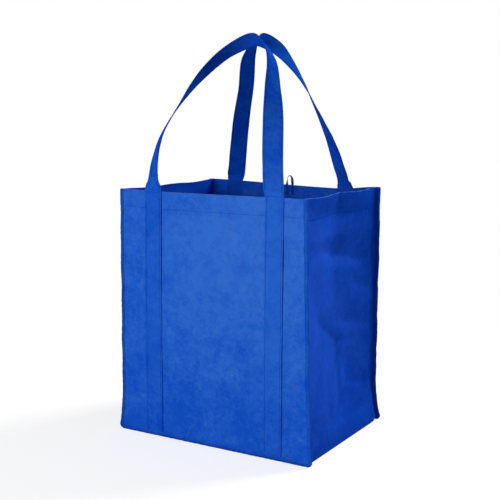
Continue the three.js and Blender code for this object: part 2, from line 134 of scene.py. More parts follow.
# Pressed folds of the sides: start and end (across, height), how far the cloth falls off above and
# below the fold, and its height, all in millimetres. Across runs from the front seam to the back
# seam. A fold that runs down falls off to the back and to the front instead.
SIDE_FOLDS = (
    (-118, 316, 60, 318, 20, 60, 5.4),
    (-52, 298, 118, 266, 34, 12, -7.6),
    (50, 241, 108, 224, 12, 6, -2.2),
    (-70, 203, 12, 150, 10, 28, -4.5),
    (0, 186, 122, 162, 14, 6, -2.6),
    (16, 151, 104, 145, 12, 6, -2.2),
    (20, 89, 104, 69, 34, 5, -3.6),
    (-34, 38, 110, 32, 44, 12, -6.0),
    (-38, 54, 30, 96, 26, 9, 3.4),
    (-118, 68, -50, 60, 14, 24, 2.4),
    (8, 158, 4, 52, 40, 48, -8.0),
    (86, 95, 108, 88, 4, 4, 1.3),
    (-98, 150, -62, 186, 5, 5, 0.5),
    (-58, 128, -56, 84, 6, 6, 0.5),
    (-40, 118, -34, 80, 5, 7, -0.5),
)
# How far the middle of each side lies inwards: height and depth, in millimetres
SIDE_HOLLOW = (
    (0, 0.0),
    (30, 0.6),
    (48, 2.0),
    (74, -0.5),
    (185, 12.0),
    (240, 13.0),
    (300, 13.0),
    (326, 8.5),
    (350, 9.0),
    (368, 3.5),
    (381, 0.0),
)
# The hang loop from its left end to its right end: share of its half width, share of its tail below
# the rim or of its rise above it, and the direction of the tape's width as across and up
HANG_LOOP = (
    (-1.00, -1.00, 1.0, 0.00),
    (-1.00, -0.50, 1.0, 0.00),
    (-1.00, 0.00, 1.0, 0.00),
    (-0.98, 0.35, 0.8, 0.60),
    (-0.70, 0.80, 0.3, 0.95),
    (0.00, 1.00, 0.0, 1.00),
    (0.70, 0.80, -0.3, 0.95),
    (0.98, 0.35, -0.8, 0.60),
    (1.00, 0.00, -1.0, 0.00),
    (1.00, -0.50, -1.0, 0.00),
    (1.00, -1.00, -1.0, 0.00),
)


class BagShape(bpy.types.PropertyGroup):
    """Sizes of the bag's body."""

    height: FloatProperty(name="Height", description="Floor to rim", default=0.381, unit="LENGTH")
    depth: FloatProperty(name="Depth", description="Front panel to back panel", default=0.254,
                         unit="LENGTH")
    rim_width: FloatProperty(name="Rim width", description="Across the bound seams at the rim",
                             default=0.322, unit="LENGTH")
    fold_width: FloatProperty(name="Base width", description="Between the two bottom folds",
                              default=0.331, unit="LENGTH")
    cloth: FloatProperty(name="Cloth", description="Thickness of the cloth", default=0.0004,
                         unit="LENGTH")
    clearance: FloatProperty(name="Clearance", description="Gap between sewn layers",
                             default=0.0003, unit="LENGTH")
    hem: FloatProperty(name="Hem", description="Depth of the rim's hem", default=0.033, unit="LENGTH")
    flange: FloatProperty(name="Seam flange", description="Width of the outward seam",
                          default=0.0065, unit="LENGTH")
    lift: FloatProperty(name="Base lift", description="Strip of base that rises to the seam",
                        default=0.018, unit="LENGTH")
    lean: FloatProperty(name="Lean", description="How far two corners stand out at the floor",
                        default=0.0105, unit="LENGTH")
    bulge: FloatProperty(name="Bulge", description="Swell of the panels", default=0.0025,
                         unit="LENGTH")
    crease: FloatProperty(name="Side crease", description="Depth of the side's middle crease at the rim",
                          default=0.005, unit="LENGTH")
    sag: FloatProperty(name="Side sag", description="Sag of the side's rim", default=0.002, unit="LENGTH")
    front_droop: FloatProperty(name="Front droop", description="Droop of the front rim",
                               default=0.0015, unit="LENGTH")
    back_droop: FloatProperty(name="Back droop", description="Droop of the back rim",
                              default=0.0055, unit="LENGTH")


class StrapShape(bpy.types.PropertyGroup):
    """Sizes of the straps and the hang loop."""

    width: FloatProperty(name="Width", description="Width of a strap", default=0.030, unit="LENGTH")
    thickness: FloatProperty(name="Thickness", description="Folded layers of a strap",
                             default=0.0014, unit="LENGTH")
    spacing: FloatProperty(name="Spacing", description="Between the middles of a strap's legs",
                           default=0.208, unit="LENGTH")
    offset: FloatProperty(name="Offset", description="Of the strap from the panel's middle",
                          default=0.006, unit="LENGTH")
    rise: FloatProperty(name="Rise", description="Height of the loop over the rim",
                        default=0.224, unit="LENGTH")
    foot: FloatProperty(name="Foot", description="Straight part of the loop over the rim",
                        default=0.004, unit="LENGTH")
    gap: FloatProperty(name="Gap", description="From the middle of the bag to each loop",
                       default=0.003, unit="LENGTH")
    loop_width: FloatProperty(name="Hang loop tape", description="Width of the hang loop's tape",
                              default=0.0045, unit="LENGTH")
    loop_rise: FloatProperty(name="Hang loop rise", description="Height of the hang loop",
                             default=0.0155, unit="LENGTH")
    stitch: FloatProperty(name="Stitch", description="From one stitch to the next",
                          default=0.0034, unit="LENGTH")
    thread: FloatProperty(name="Thread", description="Radius of the thread", default=0.00027,
                          unit="LENGTH")


class BagColours(bpy.types.PropertyGroup):
    """Colours of the cloth and the thread, as linear values."""

    panel_dark: FloatVectorProperty(name="Panel, dark", description="Thin clouds of the panels",
                                    subtype="COLOR", default=(0.0005, 0.069, 0.500))
    panel_light: FloatVectorProperty(name="Panel, light", description="Dense clouds of the panels",
                                     subtype="COLOR", default=(0.0200, 0.128, 0.558))
    # The sides' shades are a darker, more saturated copy of the panels' cloth: painted shade
    painted_shade_side_dark: FloatVectorProperty(name="Side, dark", description="Thin clouds of the sides",
                                   subtype="COLOR", default=(0.0008, 0.052, 0.470))
    painted_shade_side_light: FloatVectorProperty(name="Side, light", description="Dense clouds of the sides",
                                    subtype="COLOR", default=(0.0090, 0.086, 0.610))
    strap_dark: FloatVectorProperty(name="Strap, dark", description="Thin clouds of the straps",
                                    subtype="COLOR", default=(0.0012, 0.060, 0.490))
    strap_light: FloatVectorProperty(name="Strap, light", description="Dense clouds of the straps",
                                     subtype="COLOR", default=(0.0200, 0.116, 0.550))
    thread: FloatVectorProperty(name="Thread", description="Sewing thread",
                                subtype="COLOR", default=(0.002, 0.036, 0.300))
    loop: FloatVectorProperty(name="Hang loop", description="Woven tape of the hang loop",
                              subtype="COLOR", default=(0.008, 0.040, 0.260))
    board: FloatVectorProperty(name="Board", description="Plastic board in the base",
                               subtype="COLOR", default=(0.016, 0.017, 0.020))


class BagStage(bpy.types.PropertyGroup):
    """Camera and lamps."""

    camera_place: FloatVectorProperty(name="Camera", description="Place of the camera",
                                      subtype="TRANSLATION", default=(0.772, -1.317, 0.508))
    camera_turn: FloatProperty(name="Turn", description="Camera's turn about the upright axis",
                               default=math.radians(-30.52), unit="ROTATION")
    camera_tilt: FloatProperty(name="Tilt", description="Camera's tilt above the horizon",
                               default=math.radians(-8.39), unit="ROTATION")
    camera_roll: FloatProperty(name="Roll", description="Camera's roll", default=math.radians(0.36),
                               unit="ROTATION")
    lens: FloatProperty(name="Lens", description="Focal length in millimetres", default=70.63)
    key: FloatProperty(name="Key", description="Power of the key lamp", default=80.0)
    side: FloatProperty(name="Side", description="Power of the lamp at the right", default=89.0)
    top: FloatProperty(name="Top", description="Power of the lamp overhead", default=3.0)
    world: FloatProperty(name="World", description="Light from all round", default=0.18)


# Spacing of the grids: of the panels, tapes and straps, and of the strip
GRID_STEP = 2.6 * MM
STRIP_STEP = 2.9 * MM

# Seams: radius of their bottom corners, how far inside the tape the cloth ends, the first rows of a
# panel from that edge, and the radius where a flange bends out of the side
SEAM_CORNER_RADIUS = 1 * MM
EDGE_INSET = 1.3 * MM
EDGE_ROWS = np.array((0, 0.6, 1.5, 2.5, 3.5, 5.0)) * MM
SEAM_FOLD = 0.9 * MM

# Corners at the floor: how far they flare, and the height over which the flare dies away
LEANING_FLARE = 4.5 * MM
UPRIGHT_FLARE = 8.5 * MM
BACK_FLARE = 13.0 * MM
FLARE_HEIGHT = 22 * MM

# Rim: where it droops most, as a share of the half width, the angles round its fold, how far the
# fold puffs out, and how deep the puff reaches
DROOP_PLACE = 0.55
FOLD_ANGLES = np.radians([30, 60, 90, 120, 150])
HEM_PUFF = 1.0 * MM
HEM_PUFF_DEPTH = 4 * MM

# From the rim down to the stitches: of a panel's hem, of a side's hem, and across a strap
HEM_STITCH = 26 * MM
SIDE_HEM_STITCH = 31 * MM
CROSS_STITCH = 3.0 * MM

# The flange's step over the hem: its length, and its distance below the hem
STACK_RAMP = 8 * MM
STACK_GAP = 2 * MM

# Sides: radius of the bottom folds, reach of the middle crease, rounding of its crest low down and
# at the rim, where the rounding changes, rounding of the pressed folds, and how far the cosine of
# the hollow has turned at the back seam
FOLD_RADIUS = 2 * MM
CREASE_REACH = 26 * MM
CREST_LOW = 14 * MM
CREST_RIM = 3 * MM
CREST_FROM = 345 * MM
CREST_SPAN = 25 * MM
FOLD_ROUND = 3.5 * MM
REAR_TURN = 0.85 * math.pi

# Binding tape: how far it ends below the rim, radius round the flange's edge, reach over the flange
# at its outer and its inner edge
TAPE_DROP = 0.5 * MM
TAPE_TURN = 0.6 * MM
TAPE_OUTER_EDGE = 0.6 * MM
TAPE_INNER_EDGE = 1.6 * MM

# Painted light and shade of the cloth, as layers: a fold at the rim gets a painted highlight, and
# cloth under a strap gets a painted shade. A tape gets a painted shade from its outer edge on, where
# its columns, spread over this range, pass from 0 to 1, and less of it on the upright stretch at
# its right
SIDE_RIM_HIGHLIGHT = 1.0
PANEL_RIM_HIGHLIGHT = 0.5
STRAP_SHADE = 0.3
TAPE_SHADE = (-0.5, 5.9)
TAPE_SHADE_RIGHT = 0.25

# Strap loops: stations, power of the knot distances in the curve, and rounds of softening
LOOP_STATIONS = 230
CURVE_POWER = 0.25
SOFTENING = 30

# Section of a strap: columns of its flat face and of each rounded edge, reach of the flat face and
# inset of the edge as shares of the half width, height of the crown, rows of stitches, and depth
# and width of their grooves
FACE_COLUMNS = 31
EDGE_COLUMNS = 6
FACE_REACH = 0.955
EDGE_ROUND = 0.030
CROWN = 0.10
STITCH_ROW = 0.84
GROOVE = 0.42
GROOVE_WIDTH = 0.06

# Strap at the rim: relief left where it is sewn down, the dent of the stitches across it, and the
# slanting crease over them
SEWN_RELIEF = 0.35
DENT = 0.35 * MM
DENT_WIDTH = 1.0 * MM
DENT_REACH = 0.9
FOOT_CREASE = 0.8 * MM
FOOT_CREASE_WIDTH = 2.6 * MM
FOOT_CREASE_PLACE = 4.5 * MM
FOOT_CREASE_SLANT = 0.36

# Hang loop: half width, length of its tails, half thickness and stations
HANG_LOOP_HALF = 5 * MM
HANG_LOOP_TAIL = 16 * MM
HANG_LOOP_THICK = 0.3 * MM
HANG_LOOP_STATIONS = 90

# Stitches: lift over the cloth, lift over a strap as a share of its thickness, place on the flange,
# ends of a hem's row from the seams, spacing of that row's points, rows under a strap as a share of
# its width, and how far a side's row reaches
THREAD_LIFT = 0.05 * MM
STRAP_LIFT = 0.52
BINDING_STITCH = 2.1 * MM
HEM_MARGIN = 8 * MM
HEM_POINTS = 2 * MM
INNER_ROW = 0.42
SIDE_ROW_REACH = 0.96

# Lamps: name, place, size in metres, and the setting that holds the power
LAMPS = (
    ("key_lamp", (-0.60, -3.05, 0.60), 1.6, "key"),
    ("side_lamp", (1.32, 2.20, 2.05), 1.4, "side"),
    ("top_lamp", (0.1, 0.1, 2.6), 1.6, "top"),
)
LAMP_TARGET = (0, 0, 0.25)

# Floor: half size, level, grey for the light between surfaces, grey and glow for the camera, and
# the distances between which it fades to white
FLOOR_REACH = 12.0
FLOOR_LEVEL = -0.0006
FLOOR_BOUNCE = 0.52
FLOOR_GREY = 0.50
FLOOR_GLOW = 0.72
FLOOR_FADE = (0.35, 1.0)

# Sockets of a Mix node that mixes colours
MIX_SHARE, MIX_LOW, MIX_HIGH, MIX_RESULT = 0, 6, 7, 2


def ease(t):
    """Smooth step from 0 to 1: three t squared less two t cubed."""
    c = np.clip(t, 0, 1)
    return c * c * (3 - 2 * c)


def mix(a, b, t):
    """Straight line from a at t = 0 to b at t = 1."""
    return a + (b - a) * t


def unit(v):
    """Vectors at length one."""
    return v / np.maximum(np.linalg.norm(v, axis=-1, keepdims=True), 1e-12)


def ripple(p, q, wavelength, height, seed, waves=7):
    """Soft random relief: a sum of sine waves in seeded directions, all near one wavelength."""
    rng = np.random.default_rng(seed)
    angle = rng.uniform(0, math.pi, waves)
    length = wavelength * rng.uniform(0.75, 1.5, waves)
    phase = rng.uniform(0, TAU, waves)
    total = np.zeros(np.broadcast(p, q).shape)
    for a, span, start in zip(angle, length, phase):
        total = total + np.sin(TAU * (p * math.cos(a) + q * math.sin(a)) / span + start)
    return height * total / math.sqrt(waves)


def crumple(p, q, wavelength, height, seed):
    """Relief with crisp valleys: the size of a ripple, so that it turns sharply where it crosses zero."""
    wave = ripple(p, q, wavelength, 1.0, seed, 5)
    return height * (np.sqrt(wave * wave + 0.02) - 0.8)


def folds(p, q, strokes):
    """Ridges along straight strokes: a bell of the distance to each stroke, eased off at its ends."""
    total = np.zeros(np.broadcast(p, q).shape)
    for x0, z0, x1, z1, width, height in np.array(strokes) * MM:
        run = np.array([x1 - x0, z1 - z0])
        length = np.linalg.norm(run)
        along = ((p - x0) * run[0] + (q - z0) * run[1]) / length**2
        nearest = np.clip(along, 0, 1)
        gap = np.hypot(p - x0 - nearest * run[0], q - z0 - nearest * run[1])
        fade = ease(np.minimum(nearest, 1 - nearest) * 5 + 0.25)
        total = total + height * np.exp(-((gap / width) ** 2)) * fade
    return total


def pressed_folds(p, q, strokes):
    """Folds with a sharp line and a different fall-off on each side: an exponential of the distance
    to the line, rounded at the line, and a flat-topped bell along it."""
    total = np.zeros(np.broadcast(p, q).shape)
    for x0, z0, x1, z1, above, below, height in np.array(strokes) * MM:
        run = np.array([x1 - x0, z1 - z0])
        length = np.linalg.norm(run)
        run = run / length
        dx, dz = p - (x0 + x1) / 2, q - (z0 + z1) / 2
        along, off = dx * run[0] + dz * run[1], dz * run[0] - dx * run[1]
        width = mix(below, above, ease(0.5 + off / (6 * MM)))
        fall = (np.hypot(off, FOLD_ROUND) - FOLD_ROUND) / width
        total = total + height * np.exp(-fall - (2.1 * along / length) ** 4)
    return total


def layer(shape):
    """From the middle of one sewn layer to the next."""
    return shape.cloth + shape.clearance


def panel_plane(shape):
    """Place of the front panel's middle along Y, before its bulge."""
    return -(shape.depth - shape.cloth) / 2


def corner_height(shape):
    """Height at which an upright seam passes into the arc of its bottom corner."""
    return shape.flange + SEAM_CORNER_RADIUS


def side_of(x):
    """-1 left of the middle, and 1 on it and right of it."""
    return np.where(x < 0, -1.0, 1.0)


def panels_of(shape):
    """The front panel and the back panel."""
    return (
        Panel("front_panel_sheet", "front_panel", "front_strap", "front_handle", shape.front_droop,
              FRONT_FOLDS, 3, UPRIGHT_FLARE, FRONT_LOOP, False),
        Panel("back_panel_sheet", "back_panel", "back_strap", "back_handle", shape.back_droop,
              BACK_FOLDS, 11, BACK_FLARE, BACK_LOOP, True),
    )


def seam_tip(shape, flare, side, z):
    """Half width to the edge of the bound seam: the rim's half width, a lean that grows evenly
    towards the floor on one side, an exponential flare near the floor and a slight wave. A place
    across can stand for the side, and only shifts the wave."""
    leans = side > 0
    lean = np.where(leans, shape.lean * (1 - z / shape.height), 0)
    spread = np.where(leans, LEANING_FLARE, flare)
    wave = 0.35 * MM * np.sin(z / (9.1 * MM) + 2 * side) + 0.3 * MM * np.sin(z / (21 * MM) - side)
    settle = ease(z / (60 * MM)) * ease((shape.height - z) / (40 * MM))
    return shape.rim_width / 2 + lean + spread * np.exp(-z / FLARE_HEIGHT) + wave * settle


def rim_droop(u):
    """Droop of a rim as a share of its most: a cosine bell that peaks near the left strap."""
    reach = np.where(u < -DROOP_PLACE, 1 - DROOP_PLACE, 1 + DROOP_PLACE)
    return 0.5 + 0.5 * np.cos(math.pi * (u + DROOP_PLACE) / reach)


def panel_droop(shape, panel, u, z):
    """How far a panel's cloth hangs lower: the droop of its rim, eased off towards the floor."""
    return panel.droop * rim_droop(u) * ease(z / shape.height)


def panel_half(shape, panel, side, z):
    """Half width of a panel's cloth, inside its tape."""
    return seam_tip(shape, panel.flare, side, np.maximum(z, corner_height(shape))) - EDGE_INSET


def panel_relief(shape, panel, x, z):
    """How far a panel's cloth stands out of its plane: listed folds, ripples of two sizes and a
    crumple, all calmer at the seams and the rim, puckers beside the seams, and a groove and
    puckers at the stitches of the hem."""
    side = side_of(x)
    seed = panel.seed
    to_seam = seam_tip(shape, panel.flare, side, np.maximum(z, 0)) - shape.flange - np.abs(x)
    calm = ease(to_seam / (10 * MM)) * ease((z - shape.flange) / (22 * MM))
    rim = 1 - 0.5 * ease((z - shape.height + 2 * shape.hem) / shape.hem)
    relief = folds(x, z, panel.folds) + ripple(x, z, 58 * MM, 0.34 * MM, seed)
    relief = relief + ripple(x, z, 24 * MM, 0.10 * MM, seed + 1)
    relief = relief + crumple(x, z * 0.8, 46 * MM, 0.16 * MM, seed + 2)
    pucker = ripple(x * 0.25, z, 9 * MM, 0.15 * MM, seed + 3)
    near_seam = np.exp(-np.maximum(to_seam, 0) / (16 * MM)) * ease(to_seam / (2 * MM))
    to_hem = z - shape.height + HEM_STITCH
    groove = -0.08 * MM * np.exp(-((to_hem / (1.6 * MM)) ** 2))
    hem_pucker = ripple(x, z * 0.2, 17 * MM, 0.20 * MM, seed + 4) * np.exp(-((to_hem / (14 * MM)) ** 2))
    return relief * calm * rim + pucker * near_seam + (groove + hem_pucker) * ease(to_seam / (8 * MM))


def panel_y(shape, panel, x, z):
    """Place of a front-side panel along Y: its plane, a bulge that is a cosine across and a sine up,
    and its relief."""
    u = x / panel_half(shape, panel, side_of(x), z)
    swell = shape.bulge * np.cos(math.pi * u / 2) * np.sin(math.pi * np.clip(z / shape.height, 0, 1))
    return panel_plane(shape) - swell - panel_relief(shape, panel, x, z)


def graded(low, high, step, marks=(), near=0.8 * MM):
    """Evenly spaced values with closer ones on both sides of each mark."""
    plain = np.linspace(low, high, max(2, int(round((high - low) / step)) + 1))
    extra = [m + d * near for m in marks for d in (-2, -1, 0, 1, 2)]
    kept = [v for v in plain if all(abs(v - m) > 3 * near for m in marks)]
    return np.array(sorted(kept + [v for v in extra if low < v < high] + [low, high]))


def distinct(values):
    """Sorted values without near doubles."""
    values = np.sort(values)
    return values[np.concatenate([[True], np.diff(values) > 0.05 * MM])]


def hem_gap(shape, depth):
    """From the outer layer to the hem: one layer, and more where the fold at the rim puffs out."""
    return layer(shape) + HEM_PUFF * np.exp(-depth / HEM_PUFF_DEPTH)


def panel_grid(shape, straps, panel):
    """Middle surface of a panel: up the outside, round the folded rim and down the hem. Returns the
    points and their layers, which carry painted light: from 0 to 1 for the painted shade of the
    hem, less than 0 for the painted highlight at the fold, and more for the painted shade under
    the straps."""
    edge = EDGE_INSET
    corner = corner_height(shape)
    radius = corner - edge
    hem_low = shape.height - shape.hem
    fold = hem_gap(shape, 0) / 2
    marks = (shape.height - HEM_STITCH, hem_low)
    upper_rows = graded(corner, shape.height - fold, GRID_STEP, marks)
    rows = distinct(np.concatenate([edge + EDGE_ROWS, upper_rows]))
    top = shape.rim_width / 2 - edge
    inset = 1 - (shape.flange - edge) / top
    columns = distinct(graded(-1, 1, GRID_STEP / top, (-inset, inset), 0.6 * MM / top))
    u, z = np.meshgrid(columns, rows)
    cut = radius - np.sqrt(np.maximum(radius**2 - np.maximum(corner - z, 0) ** 2, 0))
    x = u * (panel_half(shape, panel, side_of(u), z) - cut)
    outer = np.stack([x, panel_y(shape, panel, x, z), z - panel_droop(shape, panel, u, z)], -1)
    turns, depths = [], []
    for angle in FOLD_ANGLES:
        turns.append(outer[-1] + np.array([0, 1 - math.cos(angle), math.sin(angle)]) * fold)
    for depth in graded(0, shape.hem, GRID_STEP, (HEM_STITCH,))[1:]:
        level = np.full(columns.shape, shape.height - depth)
        across = columns * panel_half(shape, panel, columns, level)
        y = panel_y(shape, panel, across, level) + hem_gap(shape, depth)
        depths.append(np.stack([across, y, level - panel_droop(shape, panel, columns, level)], -1))
    points = np.concatenate([outer, np.array(turns), np.array(depths)])
    layers = np.concatenate([
        np.broadcast_to(ease((rows - hem_low) / (1 * MM))[:, None], z.shape),
        np.full((len(turns), len(columns)), -PANEL_RIM_HIGHLIGHT),
        np.ones((len(depths), len(columns))),
    ])
    # Painted shade on the cloth under each leg of a strap
    shaded = layers + STRAP_SHADE * under_straps(straps, points[..., 0])
    return points, np.where(layers >= 0, shaded, layers)


def under_straps(straps, x):
    """1 where a strap's leg covers the place across and 0 beside it, eased over its edge."""
    gaps = (straps.width / 2 - np.abs(x - strap_x(straps, side)) for side in (-1, 1))
    return sum(ease(gap / (1.5 * MM)) for gap in gaps)


def cloth_coordinates(points):
    """Distances over a grid of points in metres: along its rows and along its columns, measured
    from the middle of each."""
    across = np.linalg.norm(np.diff(points, axis=1), axis=-1).mean(0)
    along = np.linalg.norm(np.diff(points, axis=0), axis=-1).mean(1)
    u = np.concatenate([[0], np.cumsum(across)])
    v = np.concatenate([[0], np.cumsum(along)])
    return np.stack(np.meshgrid(u - u.mean(), v), -1)


def grid_normals(points):
    """Unit normals of a grid: the cross product of its steps across and along."""
    return unit(np.cross(np.gradient(points, axis=1), np.gradient(points, axis=0)))


def grid_quads(rows, columns, first=0):
    """Corner numbers of a grid's quads, row by row."""
    r, c = np.meshgrid(np.arange(rows - 1), np.arange(columns - 1), indexing="ij")
    a = (first + r * columns + c).ravel()
    return np.stack([a, a + 1, a + 1 + columns, a + columns], -1)


def shell(points, thickness):
    """Closed solid about a grid: each point moved half the thickness both ways along its normal,
    with quads round the four edges. Returns the corners and the quads, faces out."""
    rows, columns = points.shape[:2]
    offset = grid_normals(points) * np.asarray(thickness)[..., None] / 2
    corners = np.concatenate([(points + offset).reshape(-1, 3), (points - offset).reshape(-1, 3)])
    count = rows * columns
    number = np.arange(count).reshape(rows, columns)
    rim = np.concatenate([number[0], number[1:, -1], number[-1, -2::-1], number[-2:0:-1, 0]])
    step = np.roll(rim, -1)
    edge = np.stack([rim, rim + count, step + count, step], -1)
    quads = np.concatenate([grid_quads(rows, columns), grid_quads(rows, columns, count)[:, ::-1], edge])
    return faces_out(corners, quads)


def faces_out(corners, quads):
    """Turns all quads over if the volume that they close is negative."""
    a, b, c, d = (corners[quads[:, k]] for k in range(4))
    volume = (np.cross(a, b) * c + np.cross(a, c) * d).sum()
    return corners, quads if volume > 0 else quads[:, ::-1]


def ring_quads(count, size):
    """Corner numbers of the quads round and along rings: a grid's, with its last column taken as
    its first."""
    quads = grid_quads(count, size + 1)
    return quads // (size + 1) * size + quads % (size + 1) % size


def tube(rings):
    """Closed solid through rings of points, rings[station][point], with a flat cap at both ends.
    Returns corners, quads and caps."""
    count, size = rings.shape[:2]
    caps = [np.arange(size), np.arange(size) + (count - 1) * size]
    return (*faces_out(rings.reshape(-1, 3), ring_quads(count, size)), caps)


def build_mesh(name, corners, quads, material, uv=None, layers=None, caps=()):
    """A mesh object at the origin from whole arrays, smooth but for edges over 50 degrees."""
    loops = np.concatenate([quads.ravel(), *caps]).astype(np.int32)
    sizes = np.concatenate([np.full(len(quads), 4), [len(cap) for cap in caps]]).astype(np.int32)
    starts = np.concatenate([[0], np.cumsum(sizes)[:-1]]).astype(np.int32)
    mesh = bpy.data.meshes.new(name)
    mesh.vertices.add(len(corners))
    mesh.vertices.foreach_set("co", np.asarray(corners, np.float32).ravel())
    mesh.loops.add(len(loops))
    mesh.loops.foreach_set("vertex_index", loops)
    mesh.polygons.add(len(sizes))
    mesh.polygons.foreach_set("loop_start", starts)
    mesh.polygons.foreach_set("use_smooth", np.ones(len(sizes), bool))
    mesh.update(calc_edges=True)
    if uv is not None:
        flat = np.asarray(uv, np.float32).reshape(-1, 2)[loops]
        mesh.uv_layers.new(name=CLOTH_UV).data.foreach_set("uv", flat.ravel())
    if layers is not None:
        values = mesh.attributes.new(LAYERS_WITH_PAINTED_LIGHT, "FLOAT", "POINT")
        values.data.foreach_set("value", np.asarray(layers, np.float32).ravel())
    mesh.set_sharp_from_angle(angle=math.radians(50))
    mesh.materials.append(material)
    mesh.validate()
    piece = bpy.data.objects.new(name, mesh)
    bpy.context.scene.collection.objects.link(piece)
    return piece


def turned(points):
    """Half a turn about the upright axis."""
    return points * np.array([-1, -1, 1])


def turned_runs(runs):
    """Runs of stitches after half a turn about the upright axis."""
    return [(turned(corners), quads) for corners, quads in runs]


def place(piece, slot, *nodes):
    """Lets a piece ride on the bag, and hides the nodes that it stands for. Its slot is not used."""
    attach(piece, "root")
    if nodes:
        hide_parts(*nodes)


def sewn_sheet(name, points, layers, thickness, material):
    """A sheet of cloth about a grid of points, with its cloth coordinates and its layers, which
    carry painted light and shade.
    """
    corners, quads = shell(points, thickness)
    uv = cloth_coordinates(points)
    return build_mesh(name, corners, quads, material, np.stack([uv, uv]), np.stack([layers, layers]))


# The strip that is both sides and the base


def strip_stations(shape, step):
    """Stations along a seam, from the left rim down, along the base and up to the right rim, as
    columns: side, share of the height, turn of the corner and share of the half width."""
    low, high = corner_height(shape), shape.height
    marks = (high - HEM_STITCH, high - shape.hem, high - shape.hem - STACK_GAP - STACK_RAMP / 2)
    heights = distinct(graded(low, high, step, marks))[::-1]
    share = (heights - low) / (high - low)
    turn = np.linspace(0, 1, 8)[1:]
    across = np.linspace(-1, 1, 2 * int(shape.fold_width / step / 2) + 1)[1:-1]
    stretches = (
        (-1.0, share, 0.0, -1.0),
        (-1.0, 0.0, turn, -1.0),
        (side_of(across), 0.0, 1.0, across),
        (1.0, 0.0, turn[::-1], 1.0),
        (1.0, share[::-1], 0.0, 1.0),
    )
    return np.concatenate([np.stack(np.broadcast_arrays(*stretch), -1) for stretch in stretches])


def seam_path(shape, stations, back=False):
    """The seam of a panel at each station: place and outward direction in the panel's plane. The
    corner is an arc from the side to the base. The back seam is the front seam's half turn, with
    the flare of the back panel."""
    side, share, turn, across = stations.T
    z = mix(corner_height(shape), shape.height, share)
    flare, facing = (BACK_FLARE, -side) if back else (UPRIGHT_FLARE, side)
    half = seam_tip(shape, flare, facing, z) - shape.flange
    angle = turn * math.pi / 2
    x = across * (half - SEAM_CORNER_RADIUS) + side * SEAM_CORNER_RADIUS * np.cos(angle)
    return x, z - SEAM_CORNER_RADIUS * np.sin(angle), side * np.cos(angle), -np.sin(angle)


def unturned_seam(shape, stations, back):
    """The seam of a panel where the panel is made: the back one is mirrored to the front, because
    the back panel and its tape are made as front ones and turned afterwards."""
    x, z, nx, nz = seam_path(shape, stations, back)
    mirror = -1 if back else 1
    return mirror * x, z, mirror * nx, nz


def flange_stack(shape, z):
    """How far the strip's flange lies behind the panel: one layer, and three at the hems."""
    top = shape.height - shape.hem - STACK_GAP
    return layer(shape) * (1 + 2 * np.clip((z - top) / STACK_RAMP + 1, 0, 1))


def side_relief(shape, side, y, z):
    """How far a side stands out: pressed folds, mirrored on the left side, ripples and a crumple,
    calmer at the rim, then pleats towards the back and a groove at the stitches of the hem, all of
    it calm at the seams and the floor, less the hollow."""
    edge = shape.depth / 2
    across = np.where(side > 0, y, -y)
    seed = 31
    above_floor = ease((z - 2 * MM) / (26 * MM))
    calm = ease((edge - np.abs(y)) / (12 * MM)) * above_floor
    rim = 1 - 0.85 * ease((z - shape.height + 1.2 * shape.hem) / (0.6 * shape.hem))
    relief = pressed_folds(across, z, SIDE_FOLDS) + ripple(y * 0.5 + side, z, 64 * MM, 0.25 * MM, seed)
    relief = relief + crumple(y * 0.5, z + side, 48 * MM, 0.15 * MM, seed + 1)
    relief = relief + ripple(y, z, 20 * MM, 0.05 * MM, seed + 2)
    to_hem = z - shape.height + SIDE_HEM_STITCH
    pleats = ripple(y, z * 0.12, 8 * MM, 0.22 * MM, seed + 3) * ease(across / edge * 2)
    pleats = pleats * np.exp(-((to_hem / (13 * MM)) ** 2))
    groove = -0.22 * MM * np.exp(-((to_hem / (1.6 * MM)) ** 2))
    return (relief * rim + pleats + groove) * calm - side_hollow(edge, across, z) * above_floor


def side_hollow(edge, across, z):
    """How far a side lies inwards: a depth for each height, averaged over 18 mm. It is whole in the
    middle of the side, and eases off as one minus a power of the way to the front seam, and as a
    cosine of the way to the back seam."""
    level, depth = np.array(SIDE_HOLLOW).T * MM
    depth = np.mean([np.interp(z + shift, level, depth) for shift in np.linspace(-9, 9, 7) * MM], 0)
    way = np.clip(np.abs(across) / edge, 0, 1)
    to_rear = (1 - np.cos(REAR_TURN * way)) / (1 - math.cos(REAR_TURN))
    return depth * (1 - np.where(across < 0, way**2.8, to_rear))


